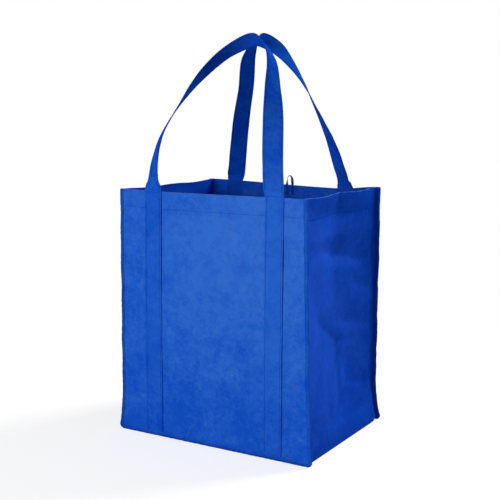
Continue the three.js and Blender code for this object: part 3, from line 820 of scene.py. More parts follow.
def strip_points(shape, stations, sections):
    """Points of the strip for all stations and sections. A section is the end that it belongs to,
    its reach outwards from the seam, its inset from the flange's layer, and its place on the flat.
    A point of a flange lies out from the seam, on the flange's layer. Any other point lies on the
    straight line between both seams, and passes over the lift to the folded shape, which has an
    arc at the bottom fold. A side then moves out by its relief, in by a middle crease that is an
    exponential of the distance to its rounded crest, and down by the two lobes of its rim's sag."""
    end, reach, inset, share_y = sections.T
    front = seam_path(shape, stations)
    back = seam_path(shape, stations, back=True)
    side, share, turn, across = (column[:, None] for column in stations.T)
    fx, fz, fnx, fnz = (v[:, None] for v in front)
    bx, bz, bnx, bnz = (v[:, None] for v in back)
    flat_half = shape.depth / 2 - shape.lift
    at_front = end[None, :] < 0
    seam_x, seam_z = np.where(at_front, fx, bx), np.where(at_front, fz, bz)
    seam_nx, seam_nz = np.where(at_front, fnx, bnx), np.where(at_front, fnz, bnz)
    layer_y = panel_plane(shape) + flange_stack(shape, seam_z)
    flange = np.stack([
        seam_x + seam_nx * reach,
        end * (-layer_y - inset),
        seam_z + seam_nz * reach,
    ], -1)
    edge = -(panel_plane(shape) + flange_stack(shape, (fz + bz) / 2))
    y = np.where(end[None, :] == 0, share_y * flat_half, end * (edge - inset))
    towards_back = 0.5 + y / (2 * edge)
    wall_x, wall_z = mix(fx, bx, towards_back), mix(fz, bz, towards_back)
    floor = shape.cloth / 2
    half = shape.fold_width / 2 - shape.cloth / 2
    angle = turn * math.pi / 2
    fold_x = across * (half - FOLD_RADIUS) + side * FOLD_RADIUS * np.cos(angle)
    fold_z = floor + FOLD_RADIUS * (1 - np.sin(angle)) + share * (shape.height - floor - FOLD_RADIUS)
    fold_x = mix(fold_x, wall_x, ease(share * 5))
    settled = ease((edge - np.abs(y)) / (edge - flat_half))
    x = mix(wall_x, fold_x, settled)
    z = mix(wall_z, fold_z, settled)
    on_wall = share > 0
    crest = mix(CREST_LOW, CREST_RIM, ease((z - CREST_FROM) / CREST_SPAN))
    to_crease = np.hypot(y, crest) - crest
    notch = shape.crease * np.exp(-to_crease / CREASE_REACH) * ease(share * 1.4) * ease(share)
    relief = side_relief(shape, side, y, z)
    x = x + np.where(on_wall, side * (relief - notch * settled), 0)
    lobe = np.sin(math.pi * y / edge) ** 2
    z = z - np.where(on_wall, shape.sag * lobe * ease(share * 2 - 1), 0)
    body = np.stack([x, y, z], -1)
    return np.where((reach > 0)[None, :, None], flange, body)


def strip_sections(shape, step):
    """Sections across the strip, from the front flange's edge round its bend, over the lift, the
    flat and the other lift to the back flange's edge."""
    tip = shape.flange - EDGE_INSET
    bend = SEAM_FOLD * (1 - math.sqrt(0.5))
    flange = [(tip, 0), (tip * 0.75, 0), (tip * 0.5, 0), (tip * 0.28, 0), (SEAM_FOLD, 0), (bend, bend)]
    lift = np.linspace(0, shape.lift, 8)[1:]
    wall = [(0, SEAM_FOLD), (0, 0.5 * (SEAM_FOLD + lift[0]))] + [(0, v) for v in lift]
    front = [(-1, r, i, 0) for r, i in flange + wall]
    flat = shape.depth / 2 - shape.lift
    middle = [(0, 0, 0, s) for s in np.linspace(-1, 1, 2 * int(flat / step) + 1)[1:-1]]
    back = [(1, r, i, 0) for r, i in flange + wall][::-1]
    return np.array(front + middle + back)


def strip_hem(shape, side, sections, step):
    """Hem at one end of the strip: half a turn round the fold at the rim and rows down the inside,
    each set inwards along the level normal of its row."""
    fold = hem_gap(shape, 0) / 2
    rim = strip_points(shape, np.array([[side, 1.0, 0.0, side]]), sections)[0]
    into = level_normal(rim) * side
    turns = [
        rim + into * fold * (1 - math.cos(a)) + [0, 0, fold * (math.sin(a) - 1)]
        for a in FOLD_ANGLES
    ]
    depths = graded(0, shape.hem, step, (HEM_STITCH,))[1:]
    share = 1 - depths / (shape.height - corner_height(shape))
    rows = strip_points(shape, np.array([[side, s, 0.0, side] for s in share]), sections)
    inner = rows + level_normal(rows) * side * hem_gap(shape, depths)[:, None, None]
    return np.concatenate([turns, inner])


def level_normal(rows):
    """Level unit normals of rows of points: the row's direction turned by a right angle."""
    along = np.gradient(rows, axis=-2)
    return unit(np.stack([-along[..., 1], along[..., 0], np.zeros(along.shape[:-1])], -1))


def strip_grid(shape, step):
    """Middle surface of the strip with a hem folded inside at both ends, and its layers: a painted
    shade on the hem and a painted highlight at the rim's fold.
    """
    sections = strip_sections(shape, step)
    stations = strip_stations(shape, step)
    outer = strip_points(shape, stations, sections)
    outer[[0, -1], :, 2] -= hem_gap(shape, 0) / 2
    left = strip_hem(shape, -1.0, sections, step)
    right = strip_hem(shape, 1.0, sections, step)
    points = np.concatenate([left[::-1], outer, right])
    height = mix(corner_height(shape), shape.height, stations[:, 1])
    # Painted shade where the hem lies twice, and a painted highlight on the rows over the rim
    doubled_shade = ease((height - shape.height + shape.hem) / (1 * MM)) * (stations[:, 1] > 0)
    inner = np.ones(len(left) - len(FOLD_ANGLES))
    turned_over = np.full(len(FOLD_ANGLES), -SIDE_RIM_HIGHLIGHT)
    rows = np.concatenate([inner, turned_over, doubled_shade, turned_over, inner])
    return points, np.broadcast_to(rows[:, None], points.shape[:2])


def binding_grid(shape, stations, seed, back):
    """Middle surface of the tape that closes a seam: up one face of the flange, round its edge and
    down the other face, swept from rim to rim, with slightly uneven edges. The back one is made
    as the front one and turned afterwards."""
    x, z, nx, nz = unturned_seam(shape, stations, back)
    z = np.where(stations[:, 1] == 1, z - TAPE_DROP, z)
    front = panel_plane(shape) - layer(shape)
    back_y = panel_plane(shape) + flange_stack(shape, z) + layer(shape)
    middle = (front + back_y) / 2
    half = (back_y - front) / 2
    tip = shape.flange - shape.cloth / 2 - TAPE_TURN
    run = np.cumsum(np.concatenate([[0], np.hypot(np.diff(x), np.diff(z))]))
    uneven = ripple(run, 0, 14 * MM, 0.22 * MM, seed)
    pucker = np.abs(ripple(run, 0, 5.5 * MM, 0.16 * MM, seed + 1))
    edge_wave = ripple(run, 0, 7 * MM, 0.16 * MM, seed + 2) * ease(z / (0.2 * MM) - 1)
    reach, place_y = [], []
    for r in np.linspace(0, 1, 6):
        reach.append(mix(TAPE_OUTER_EDGE + uneven, tip + edge_wave * r, r))
        place_y.append(front - pucker * math.sin(math.pi * r))
    for angle in np.radians([-60, -35, 0, 35, 60]):
        reach.append(tip + TAPE_TURN * math.cos(angle) + edge_wave)
        place_y.append(middle + half * math.sin(angle) / math.sin(math.radians(75)))
    for r in np.linspace(1, 0, 6):
        reach.append(mix(TAPE_INNER_EDGE - uneven, tip + edge_wave * r, r))
        place_y.append(back_y + pucker * math.sin(math.pi * r))
    reach, place_y = np.array(reach).T, np.array(place_y).T
    return np.stack([x[:, None] + nx[:, None] * reach, place_y, z[:, None] + nz[:, None] * reach], -1)


def tape_painted_shade(stations, columns):
    """Painted shade of a tape, as layers: one, and up to one more from its outer edge on, less at
    the right.
    """
    strong = (stations[:, 0] < 0) | (stations[:, 2] > 0.5)
    share = np.where(strong, 1.0, TAPE_SHADE_RIGHT)
    return 1 + share[:, None] * ease(np.linspace(*TAPE_SHADE, columns))


# Straps and tapes


def run_along(path):
    """Distance from a path's start to each of its points: the sum of its steps."""
    return np.concatenate([[0], np.cumsum(np.linalg.norm(np.diff(path, axis=0), axis=1))])


def smooth_curve(knots, count, power):
    """A Catmull-Rom curve through knots: on each stretch a cubic with end slopes from the
    neighbours, weighted by the distances between knots raised to a power."""
    first, last = 2 * knots[0] - knots[1], 2 * knots[-1] - knots[-2]
    p = np.vstack([first, knots, last])
    spread = np.maximum(np.linalg.norm(np.diff(p, axis=0), axis=1) ** (2 * power), 1e-6)
    t = np.linspace(0, len(knots) - 1, count)
    i = np.minimum(t.astype(int), len(knots) - 2)
    s = (t - i)[:, None]
    p0, p1, p2, p3 = p[i], p[i + 1], p[i + 2], p[i + 3]
    d0, d1, d2 = spread[i][:, None], spread[i + 1][:, None], spread[i + 2][:, None]
    m1 = ((p1 - p0) / d0 - (p2 - p0) / (d0 + d1) + (p2 - p1) / d1) * d1
    m2 = ((p2 - p1) / d1 - (p3 - p1) / (d1 + d2) + (p3 - p2) / d2) * d1
    return p1 + m1 * s + (-3 * p1 + 3 * p2 - 2 * m1 - m2) * s**2 + (2 * p1 - 2 * p2 + m1 + m2) * s**3


def soften(values, times):
    """Averages each inner station with its neighbours, a number of times."""
    for _ in range(times):
        inner = (values[:-2] + 2 * values[1:-1] + values[2:]) / 4
        values = np.concatenate([values[:1], inner, values[-1:]])
    return values


def strap_x(straps, side):
    """Place across of the middle of a strap's leg."""
    return straps.offset + side * straps.spacing / 2


def frame_along(line, edge):
    """Width direction and normal along a line: the width direction is squared to the tangent, and
    the normal is the cross product of both."""
    tangent = unit(np.gradient(line, axis=0))
    edge = unit(edge - tangent * (edge * tangent).sum(-1, keepdims=True))
    return edge, unit(np.cross(edge, tangent))


def strap_path(shape, straps, panel):
    """Middle line of a strap: up the outside of the panel, free as the handle, and down the panel
    again, with its width direction, its normal and whether each station lies on the panel."""
    standoff = (shape.cloth + straps.thickness) / 2 + shape.clearance
    rim = {}
    for side in (-1.0, 1.0):
        u = strap_x(straps, side) / panel_half(shape, panel, side, shape.height)
        rim[side] = shape.height - panel_droop(shape, panel, u, shape.height)

    def leg(side):
        """One leg from the bottom seam to the rim."""
        marks = (rim[side] - CROSS_STITCH,)
        z = graded(shape.flange + 1.4 * MM, rim[side] + straps.foot / 2, GRID_STEP, marks)
        x = np.full(z.shape, strap_x(straps, side))
        y = panel_y(shape, panel, x, np.minimum(z, shape.height)) - standoff
        return np.stack([x, y, z], -1), np.broadcast_to([-side, 0.0, 0.0], (len(z), 3))

    knots = np.array(panel.loop)
    level = mix(rim[-1.0], rim[1.0], (knots[:, 0] + 1) / 2)
    foot_y = panel_plane(shape) - standoff
    middles = np.stack([
        straps.offset + knots[:, 0] * straps.spacing / 2,
        mix(foot_y, -straps.gap, knots[:, 1]),
        level + straps.foot + knots[:, 2] * straps.rise,
    ], -1)
    free = smooth_curve(middles, LOOP_STATIONS, CURVE_POWER)
    free_edge = smooth_curve(unit(knots[:, 3:6] * [1, -1, 1]), LOOP_STATIONS, 0.0)
    up, up_edge = leg(-1.0)
    down, down_edge = leg(1.0)
    line = np.vstack([up, free, down[::-1]])
    edge = soften(np.vstack([up_edge, free_edge, down_edge[::-1]]), SOFTENING)
    on_panel = np.repeat([True, False, True], [len(up), len(free), len(down)])
    return (line, *frame_along(line, edge), on_panel)


def rim_crossings(on_panel):
    """Stations where a strap leaves its panel and where it comes back to it."""
    return np.flatnonzero(np.diff(on_panel.astype(int)))


def rounded_wave(wave, power):
    """A cosine or sine with its size raised to a power: two of them draw a rounded box."""
    return np.sign(wave) * np.abs(wave) ** power


def strap_section():
    """Section of a folded strap as shares of half its width and half its thickness: a flat face
    with rounded edges, a soft crown and a groove at both rows of stitches, on both sides."""
    corner = np.linspace(0, 1, EDGE_COLUMNS)
    rounded = np.sqrt(1 - (1 - corner) ** 2)
    inset = EDGE_ROUND * corner**2
    face = np.linspace(-FACE_REACH, FACE_REACH, FACE_COLUMNS)
    top = np.concatenate([inset - 1, face, (1 - inset)[::-1]])
    lift = np.concatenate([rounded, np.ones(FACE_COLUMNS), rounded[::-1]])
    groove = sum(np.exp(-(((top - row) / GROOVE_WIDTH) ** 2)) for row in (-STITCH_ROW, STITCH_ROW))
    upper = lift * (1 + CROWN * (1 - top**2) - GROOVE * groove)
    return np.concatenate([top, top[-2:0:-1]]), np.concatenate([upper, -upper[-2:0:-1]])


def strap_relief(run, across, half_width, on_panel, seed):
    """How far a strap stands out of its plane: a ripple, a crumple and puckers at its edges, calmer
    where it is sewn down, less the dent of the stitches across it at the rim, and a slanting
    crease over them. The run is a column, and across is a row of shares of the half width."""
    q = across * half_width
    relief = ripple(q, run, 30 * MM, 0.12 * MM, seed + 1) + crumple(q, run, 52 * MM, 0.10 * MM, seed + 2)
    relief = relief + ripple(q * 0.2, run, 7.5 * MM, 0.05 * MM, seed + 3) * np.abs(across) ** 3
    relief = relief * np.where(on_panel, SEWN_RELIEF, 1.0)[:, None]
    for number, way in zip(rim_crossings(on_panel), (1, -1)):
        below = (run[number] - run) * way
        dent = np.exp(-(((below - CROSS_STITCH) / DENT_WIDTH) ** 2)) * (np.abs(across) < DENT_REACH)
        to_crease = below + FOOT_CREASE_PLACE - way * q * FOOT_CREASE_SLANT
        crease = np.exp(-((to_crease / FOOT_CREASE_WIDTH) ** 2))
        relief = relief - DENT * dent + FOOT_CREASE * crease
    return relief


def strap_rings(straps, line, edge, normal, on_panel, seed):
    """Rings of a folded strap: its section carried along its line, with slightly uneven edges and
    its relief on both faces."""
    across, through = strap_section()
    run = run_along(line)[:, None]
    half_width = straps.width / 2
    uneven = 1 + ripple(run, 0, 40 * MM, 0.006, seed)
    out = through * straps.thickness / 2 + strap_relief(run, across[None, :], half_width, on_panel, seed)
    return (
        line[:, None, :]
        + edge[:, None, :] * (across * half_width * uneven)[..., None]
        + normal[:, None, :] * out[..., None]
    )


def tube_mesh(name, rings, material):
    """A closed solid through rings, with cloth coordinates along it and round it to both sides."""
    corners, quads, caps = tube(rings)
    girth = np.linalg.norm(np.diff(rings, axis=1, append=rings[:, :1]), axis=-1).mean(0)
    around = np.concatenate([[0], np.cumsum(girth)[:-1]])
    around = np.minimum(around, girth.sum() - around)
    uv = np.stack(np.meshgrid(around, run_along(rings.mean(1))), -1)
    return build_mesh(name, corners, quads, material, uv, np.ones(uv.shape[:2]), caps)


# Sewing thread


def along(path, values, distances):
    """Values carried along a path, read at distances from its start."""
    run = run_along(path)
    return np.stack([np.interp(distances, run, values[:, k]) for k in range(values.shape[1])], -1)


def stitches(path, normals, pitch, radius):
    """Short rounded stitches along a path on a surface: each is four rings of four points, widest in
    the middle and a quarter wider than high, with both ends dipped into the cloth. Returns corners
    and quads."""
    count = max(1, int(run_along(path)[-1] / pitch))
    starts = (np.arange(count) + 0.5) * pitch
    centre = along(path, path, starts)
    normal = unit(along(path, normals, starts))
    ahead = along(path, path, starts + 0.2 * pitch) - along(path, path, starts - 0.2 * pitch)
    tangent = unit(ahead - normal * (ahead * normal).sum(-1, keepdims=True))
    side = np.cross(normal, tangent)
    place_along = np.array([-0.42, -0.26, 0.26, 0.42]) * pitch
    girth = np.array([0.35, 1.0, 1.0, 0.35]) * radius
    height = np.array([-0.6, 0.55, 0.55, -0.6]) * radius
    turn = np.radians([45, 135, 225, 315])
    rings = (
        centre[:, None, None, :]
        + tangent[:, None, None, :] * place_along[None, :, None, None]
        + side[:, None, None, :] * (girth[:, None] * np.cos(turn))[None, :, :, None] * 1.25
        + normal[:, None, None, :] * (height[:, None] + girth[:, None] * np.sin(turn))[None, :, :, None]
    )
    corners = rings.reshape(-1, 3)
    one = np.concatenate([ring_quads(4, 4), [[3, 2, 1, 0], [12, 13, 14, 15]]])
    quads = (one[None] + 16 * np.arange(count)[:, None, None]).reshape(-1, 4)
    return faces_out(corners, quads)


def thread_piece(name, runs, material):
    """One piece from many runs of stitches."""
    corners = np.concatenate([c for c, _ in runs])
    first = np.cumsum([0] + [len(c) for c, _ in runs])
    quads = np.concatenate([q + start for (_, q), start in zip(runs, first)])
    return build_mesh(name, corners, quads, material)


def strap_row_stitches(straps, rings, normal, on_panel):
    """Both rows of stitches along a strap: all the way on its outer face, and where it is free also
    on its inner face, one column further on."""
    size = rings.shape[1]
    face = np.linspace(-FACE_REACH, FACE_REACH, FACE_COLUMNS)
    runs = []
    for row in (-STITCH_ROW, STITCH_ROW):
        outer = np.argmin(np.abs(face - row)) + EDGE_COLUMNS
        inner = size - outer + 1
        runs.append(stitches(rings[:, outer], normal, straps.stitch, straps.thread))
        free = rings[~on_panel, inner]
        runs.append(stitches(free, -normal[~on_panel], straps.stitch, straps.thread))
    return runs


def cross_stitches(straps, line, edge, normal, on_panel):
    """A row of stitches across a strap just under the rim on each leg."""
    run = run_along(line)
    share = np.linspace(-STITCH_ROW, STITCH_ROW, 12)[:, None]
    runs = []
    for number, way in zip(rim_crossings(on_panel), (-1, 1)):
        row = np.argmin(np.abs(run - run[number] - way * CROSS_STITCH))
        middle = line[row] + normal[row] * straps.thickness * STRAP_LIFT
        path = middle + share * edge[row] * straps.width / 2
        out = np.broadcast_to(normal[row], path.shape)
        runs.append(stitches(path, out, straps.stitch, straps.thread))
    return runs


def hem_stitches(shape, straps, panel):
    """The stitches of a panel's hem, outside and inside: a level row that droops with the rim."""
    level = shape.height - HEM_STITCH
    reach = shape.rim_width / 2 - HEM_MARGIN
    x = np.arange(-reach, reach, HEM_POINTS)
    u = x / panel_half(shape, panel, x, level)
    y = panel_y(shape, panel, x, np.full(x.shape, level))
    z = level - panel_droop(shape, panel, u, level)
    out = np.broadcast_to([0.0, -1.0, 0.0], (len(x), 3))
    lift = shape.cloth / 2 + THREAD_LIFT
    outside = np.stack([x, y - lift, z], -1)
    inside = np.stack([x, y + layer(shape) + lift, z], -1)
    return [
        stitches(outside, out, straps.stitch, straps.thread),
        stitches(inside, -out, straps.stitch, straps.thread),
    ]


def inner_row_stitches(shape, straps, panel):
    """The stitches that hold the straps, as they show inside the panel and its hem: a row under
    both edges of each leg."""
    hem_low = shape.height - shape.hem
    z = graded(2 * shape.flange, shape.height - 3 * MM, GRID_STEP, (hem_low,))
    out = np.broadcast_to([0.0, 1.0, 0.0], (len(z), 3))
    inside = np.where(z > hem_low, layer(shape), 0) + shape.cloth / 2 + THREAD_LIFT
    runs = []
    for leg in (-1, 1):
        for row in (-INNER_ROW, INNER_ROW):
            x = np.full(z.shape, strap_x(straps, leg) + row * straps.width)
            y = panel_y(shape, panel, x, z) + inside
            u = x / panel_half(shape, panel, side_of(x), z)
            path = np.stack([x, y, z - panel_droop(shape, panel, u, z)], -1)
            runs.append(stitches(path, out, straps.stitch, straps.thread))
    return runs


def binding_stitches(shape, straps, panel):
    """The stitches of a panel's binding on both faces of the flange, from rim to rim."""
    x, z, nx, nz = unturned_seam(shape, strip_stations(shape, GRID_STEP), panel.half_turn)
    lift = layer(shape) + shape.cloth / 2 + THREAD_LIFT
    before = np.full(x.shape, panel_plane(shape) - lift)
    behind = panel_plane(shape) + flange_stack(shape, z) + lift
    x, z = x + nx * BINDING_STITCH, z + nz * BINDING_STITCH
    out = np.broadcast_to([0.0, -1.0, 0.0], (len(x), 3))
    return [
        stitches(np.stack([x, before, z], -1), out, straps.stitch, straps.thread),
        stitches(np.stack([x, behind, z], -1), -out, straps.stitch, straps.thread),
    ]


def side_hem_stitches(shape, straps, side):
    """The stitches of a side's hem: a level row on its outer face."""
    share = 1 - SIDE_HEM_STITCH / (shape.height - corner_height(shape))
    places = np.linspace(-SIDE_ROW_REACH, SIDE_ROW_REACH, 90)
    sections = np.array([(0, 0, 0, place) for place in places])
    row = strip_points(shape, np.array([[side, share, 0.0, side]]), sections)[0]
    out = np.broadcast_to([side, 0.0, 0.0], row.shape)
    lift = shape.cloth / 2 + THREAD_LIFT
    return stitches(row + out * lift, out, straps.stitch, straps.thread)


# Finishes


def new_group(name, inputs, outputs):
    """A shader node group with named sockets."""
    group = bpy.data.node_groups.new(name, "ShaderNodeTree")
    for label, kind, value in inputs:
        socket = group.interface.new_socket(label, in_out="INPUT", socket_type=kind)
        socket.default_value = value
    for label, kind in outputs:
        group.interface.new_socket(label, in_out="OUTPUT", socket_type=kind)
    return group, group.nodes.new("NodeGroupInput"), group.nodes.new("NodeGroupOutput")


def give(tree, value, socket):
    """Links a value to a socket, or sets the socket where the value is a plain one."""
    if isinstance(value, bpy.types.NodeSocket):
        tree.links.new(value, socket)
    else:
        socket.default_value = value


def maths(tree, operation, *values, clamp=False):
    """A Math node with its values or links."""
    node = tree.nodes.new("ShaderNodeMath")
    node.operation = operation
    node.use_clamp = clamp
    for socket, value in zip(node.inputs, values):
        give(tree, value, socket)
    return node.outputs[0]


def noise(tree, vector, scale, detail, roughness=0.5, distortion=0.0):
    """A Noise Texture's factor."""
    node = tree.nodes.new("ShaderNodeTexNoise")
    node.inputs["Scale"].default_value = scale
    node.inputs["Detail"].default_value = detail
    node.inputs["Roughness"].default_value = roughness
    node.inputs["Distortion"].default_value = distortion
    tree.links.new(vector, node.inputs["Vector"])
    return node.outputs["Fac"]


def stretched(tree, vector, scale, angle=0.0):
    """A Mapping node that turns and stretches coordinates."""
    node = tree.nodes.new("ShaderNodeMapping")
    node.inputs["Scale"].default_value = scale
    node.inputs["Rotation"].default_value = (0, 0, angle)
    tree.links.new(vector, node.inputs["Vector"])
    return node.outputs[0]


def smooth_range(tree, value, low, high):
    """A Map Range node that rises smoothly from 0 at low to 1 at high."""
    node = tree.nodes.new("ShaderNodeMapRange")
    node.interpolation_type = "SMOOTHSTEP"
    node.inputs["From Min"].default_value = low
    node.inputs["From Max"].default_value = high
    tree.links.new(value, node.inputs["Value"])
    return node.outputs[0]


def colour_mix(tree, share, low, high):
    """A colour that runs from low at a share of 0 to high at a share of 1."""
    node = tree.nodes.new("ShaderNodeMix")
    node.data_type = "RGBA"
    give(tree, share, node.inputs[MIX_SHARE])
    give(tree, low, node.inputs[MIX_LOW])
    give(tree, high, node.inputs[MIX_HIGH])
    return node.outputs[MIX_RESULT]


def opaque(colour, share=1.0):
    """A colour times a share, with full alpha."""
    return (*[share * c for c in colour], 1)


def object_place(tree):
    """Object coordinates."""
    return tree.nodes.new("ShaderNodeTexCoord").outputs["Object"]


def cloth_place(tree):
    """The cloth's own coordinates in metres, and its two parts."""
    uv = tree.nodes.new("ShaderNodeUVMap")
    uv.uv_map = CLOTH_UV
    split = tree.nodes.new("ShaderNodeSeparateXYZ")
    tree.links.new(uv.outputs[0], split.inputs[0])
    return uv.outputs[0], split.outputs[0], split.outputs[1]


def spunbond_group():
    """Spunbond cloth. Its shade is a weight: a half, plus clouds of three sizes, plus loose fibres
    in two directions, less staggered bond points, which are a product of two cosines in the
    cloth's own coordinates, plus a painted pool of light, less a painted shade where the cloth
    lies twice. Layers above one darken it with painted shade, and layers below zero mark a
    scalloped painted highlight along the fold of a rim."""
    group, given, result = new_group(
        "Spunbond cloth",
        [
            ("Dark", "NodeSocketColor", (0, 0, 0, 1)),
            ("Light", "NodeSocketColor", (1, 1, 1, 1)),
            ("Bond pitch", "NodeSocketFloat", 0.0016),
            ("Clouds", "NodeSocketFloat", 0.5),
            # Painted shade where the cloth lies twice
            ("Doubled", "NodeSocketFloat", 0.2),
            # Strength of a painted pool of light
            ("Dense", "NodeSocketFloat", 0.0),
            ("Roughness", "NodeSocketFloat", 0.5),
        ],
        [("Color", "NodeSocketColor"), ("Roughness", "NodeSocketFloat"), ("Height", "NodeSocketFloat")],
    )
    uv, across, along_cloth = cloth_place(group)
    place_at = object_place(group)
    layers = group.nodes.new("ShaderNodeAttribute")
    layers.attribute_name = LAYERS_WITH_PAINTED_LIGHT
    layers = layers.outputs["Fac"]

    turn = maths(group, "DIVIDE", math.pi, given.outputs["Bond pitch"])
    wander = maths(group, "MULTIPLY", noise(group, uv, 160, 1), 1.6)
    waves = []
    for distance in (across, along_cloth):
        phase = maths(group, "ADD", maths(group, "MULTIPLY", distance, turn), wander)
        waves.append(maths(group, "COSINE", phase))
    bonds = smooth_range(group, maths(group, "MULTIPLY", *waves), 0.45, 0.85)

    fibres_a = noise(group, stretched(group, uv, (1500, 260, 1), 0.5), 1.0, 3, 0.6, 1.2)
    fibres_b = noise(group, stretched(group, uv, (260, 1500, 1), 0.35), 1.0, 3, 0.6, 1.2)
    fibres = maths(group, "MAXIMUM", fibres_a, fibres_b)

    fine = noise(group, place_at, 300, 3, 0.65)
    middle = noise(group, place_at, 95, 2, 0.5, 0.5)
    broad = noise(group, place_at, 26, 3, 0.55, 0.4)
    small_clouds = [maths(group, "SUBTRACT", cloud, 0.5) for cloud in (fine, middle)]
    broad_clouds = maths(group, "MULTIPLY", maths(group, "SUBTRACT", broad, 0.5), 1.3)
    clouds = maths(group, "ADD", maths(group, "ADD", *small_clouds), broad_clouds)
    clouds = maths(group, "MULTIPLY", clouds, given.outputs["Clouds"])

    loose = maths(group, "MULTIPLY", maths(group, "SUBTRACT", fibres, 0.6), 0.5)
    weight = maths(group, "ADD", maths(group, "ADD", clouds, 0.5), loose)
    weight = maths(group, "SUBTRACT", weight, maths(group, "MULTIPLY", bonds, 0.12))
    # A painted pool of light, darker away from it
    weight = maths(group, "ADD", weight, maths(group, "MULTIPLY", given.outputs["Dense"], 0.7))
    # Painted shade where the cloth lies twice
    doubled_shade = maths(group, "MULTIPLY", layers, given.outputs["Doubled"])
    weight = maths(group, "SUBTRACT", weight, doubled_shade, clamp=True)
    colour = colour_mix(group, weight, given.outputs["Dark"], given.outputs["Light"])

    # Painted shade where the layers are above one: under the straps and along the tapes
    extra = maths(group, "SUBTRACT", layers, 1.0, clamp=True)
    colour = colour_mix(group, maths(group, "MULTIPLY", extra, 0.50), colour, (0, 0, 0, 1))
    # A scalloped painted highlight along the fold of a rim, where the layers are below zero
    highlight_scallops = smooth_range(group, noise(group, uv, 70, 1), 0.40, 0.60)
    highlight_scallops = maths(group, "ADD", maths(group, "MULTIPLY", highlight_scallops, 0.65), 0.1)
    fold = maths(group, "MULTIPLY", layers, -1.0, clamp=True)
    fold = maths(group, "MULTIPLY", fold, highlight_scallops)
    group.links.new(colour_mix(group, fold, colour, (0.10, 0.24, 0.75, 1)), result.inputs["Color"])

    rough = maths(group, "SUBTRACT", given.outputs["Roughness"], maths(group, "MULTIPLY", bonds, 0.08))
    rough = maths(group, "ADD", rough, maths(group, "MULTIPLY", clouds, 0.12))
    group.links.new(rough, result.inputs["Roughness"])
    height = maths(group, "MULTIPLY", fibres, 0.8)
    height = maths(group, "SUBTRACT", height, maths(group, "MULTIPLY", bonds, 0.8))
    height = maths(group, "ADD", height, maths(group, "MULTIPLY", fine, 0.9))
    group.links.new(height, result.inputs["Height"])
    return group


def new_material(name):
    """A material with its Principled BSDF."""
    material = bpy.data.materials.new(name)
    material.use_nodes = True
    return material, material.node_tree, material.node_tree.nodes["Principled BSDF"]


def bump(tree, bsdf, height, strength, distance):
    """A Bump node between a height and the BSDF's Normal."""
    node = tree.nodes.new("ShaderNodeBump")
    node.inputs["Strength"].default_value = strength
    node.inputs["Distance"].default_value = distance
    tree.links.new(height, node.inputs["Height"])
    tree.links.new(node.outputs[0], bsdf.inputs["Normal"])


def cloth_finish(name, group, shades, clouds, doubled_shade, roughness, gloss, painted_light=None):
    """Spunbond cloth in two shades, with an optional painted pool of light, given as its middle
    and its reach.
    """
    material, tree, bsdf = new_material(name)
    node = tree.nodes.new("ShaderNodeGroup")
    node.node_tree = group
    node.inputs["Dark"].default_value = opaque(shades[0])
    node.inputs["Light"].default_value = opaque(shades[1])
    node.inputs["Clouds"].default_value = clouds
    node.inputs["Doubled"].default_value = doubled_shade
    node.inputs["Roughness"].default_value = roughness
    # A painted pool of light: brighter near its middle, darker beyond its reach
    if painted_light:
        middle, reach = painted_light
        span = tree.nodes.new("ShaderNodeVectorMath")
        span.operation = "DISTANCE"
        span.inputs[1].default_value = middle
        tree.links.new(object_place(tree), span.inputs[0])
        near = smooth_range(tree, span.outputs["Value"], reach, 0.02)
        tree.links.new(maths(tree, "SUBTRACT", near, 0.42), node.inputs["Dense"])
    tree.links.new(node.outputs["Color"], bsdf.inputs["Base Color"])
    tree.links.new(node.outputs["Roughness"], bsdf.inputs["Roughness"])
    bsdf.inputs["Specular IOR Level"].default_value = gloss
    bump(tree, bsdf, node.outputs["Height"], 0.35, 0.0002)
    return material


def thread_finish(colour):
    """Spun sewing thread: a fine noise for its twist, in two shades and in relief."""
    material, tree, bsdf = new_material("sewing_thread")
    ply = noise(tree, object_place(tree), 3200, 2)
    shade = colour_mix(tree, ply, opaque(colour, 0.75), opaque(colour, 1.25))
    tree.links.new(shade, bsdf.inputs["Base Color"])
    bsdf.inputs["Roughness"].default_value = 0.6
    bsdf.inputs["Specular IOR Level"].default_value = 0.0
    bump(tree, bsdf, ply, 0.4, 0.0001)
    return material


def woven_finish(colour):
    """Narrow woven tape: a sine of its ribs times a sine of its picks, in the cloth's own
    coordinates, in two shades and in relief."""
    material, tree, bsdf = new_material("loop_tape_weave")
    _, across, along_tape = cloth_place(tree)
    ribs = maths(tree, "SINE", maths(tree, "MULTIPLY", across, TAU / 0.0009))
    picks = maths(tree, "SINE", maths(tree, "MULTIPLY", along_tape, TAU / 0.0012))
    weave = maths(tree, "MULTIPLY", ribs, picks)
    share = maths(tree, "ADD", maths(tree, "MULTIPLY", weave, 0.35), 0.5)
    shade = colour_mix(tree, share, opaque(colour, 0.7), opaque(colour, 1.35))
    tree.links.new(shade, bsdf.inputs["Base Color"])
    bsdf.inputs["Roughness"].default_value = 0.6
    bsdf.inputs["Specular IOR Level"].default_value = 0.02
    bump(tree, bsdf, weave, 0.5, 0.0001)
    return material


def board_finish(colour):
    """Dark plastic board: a fine moulded grain with faint flutes, and soft clouds of two shades."""
    material, tree, bsdf = new_material("board_plastic")
    coordinates = object_place(tree)
    split = tree.nodes.new("ShaderNodeSeparateXYZ")
    tree.links.new(coordinates, split.inputs[0])
    flutes = maths(tree, "SINE", maths(tree, "MULTIPLY", split.outputs[1], TAU / 0.004))
    grain = noise(tree, coordinates, 900, 3, 0.6)
    height = maths(tree, "ADD", maths(tree, "MULTIPLY", flutes, 0.3), grain)
    clouds = noise(tree, coordinates, 30, 4, 0.6)
    shade = colour_mix(tree, clouds, opaque(colour, 0.8), opaque(colour, 1.3))
    tree.links.new(shade, bsdf.inputs["Base Color"])
    rough = maths(tree, "ADD", maths(tree, "MULTIPLY", grain, 0.2), 0.42)
    tree.links.new(rough, bsdf.inputs["Roughness"])
    bump(tree, bsdf, height, 0.3, 0.0002)
    return material


def finish_named(name):
    """A finish that the first operator has made."""
    return bpy.data.materials[name]


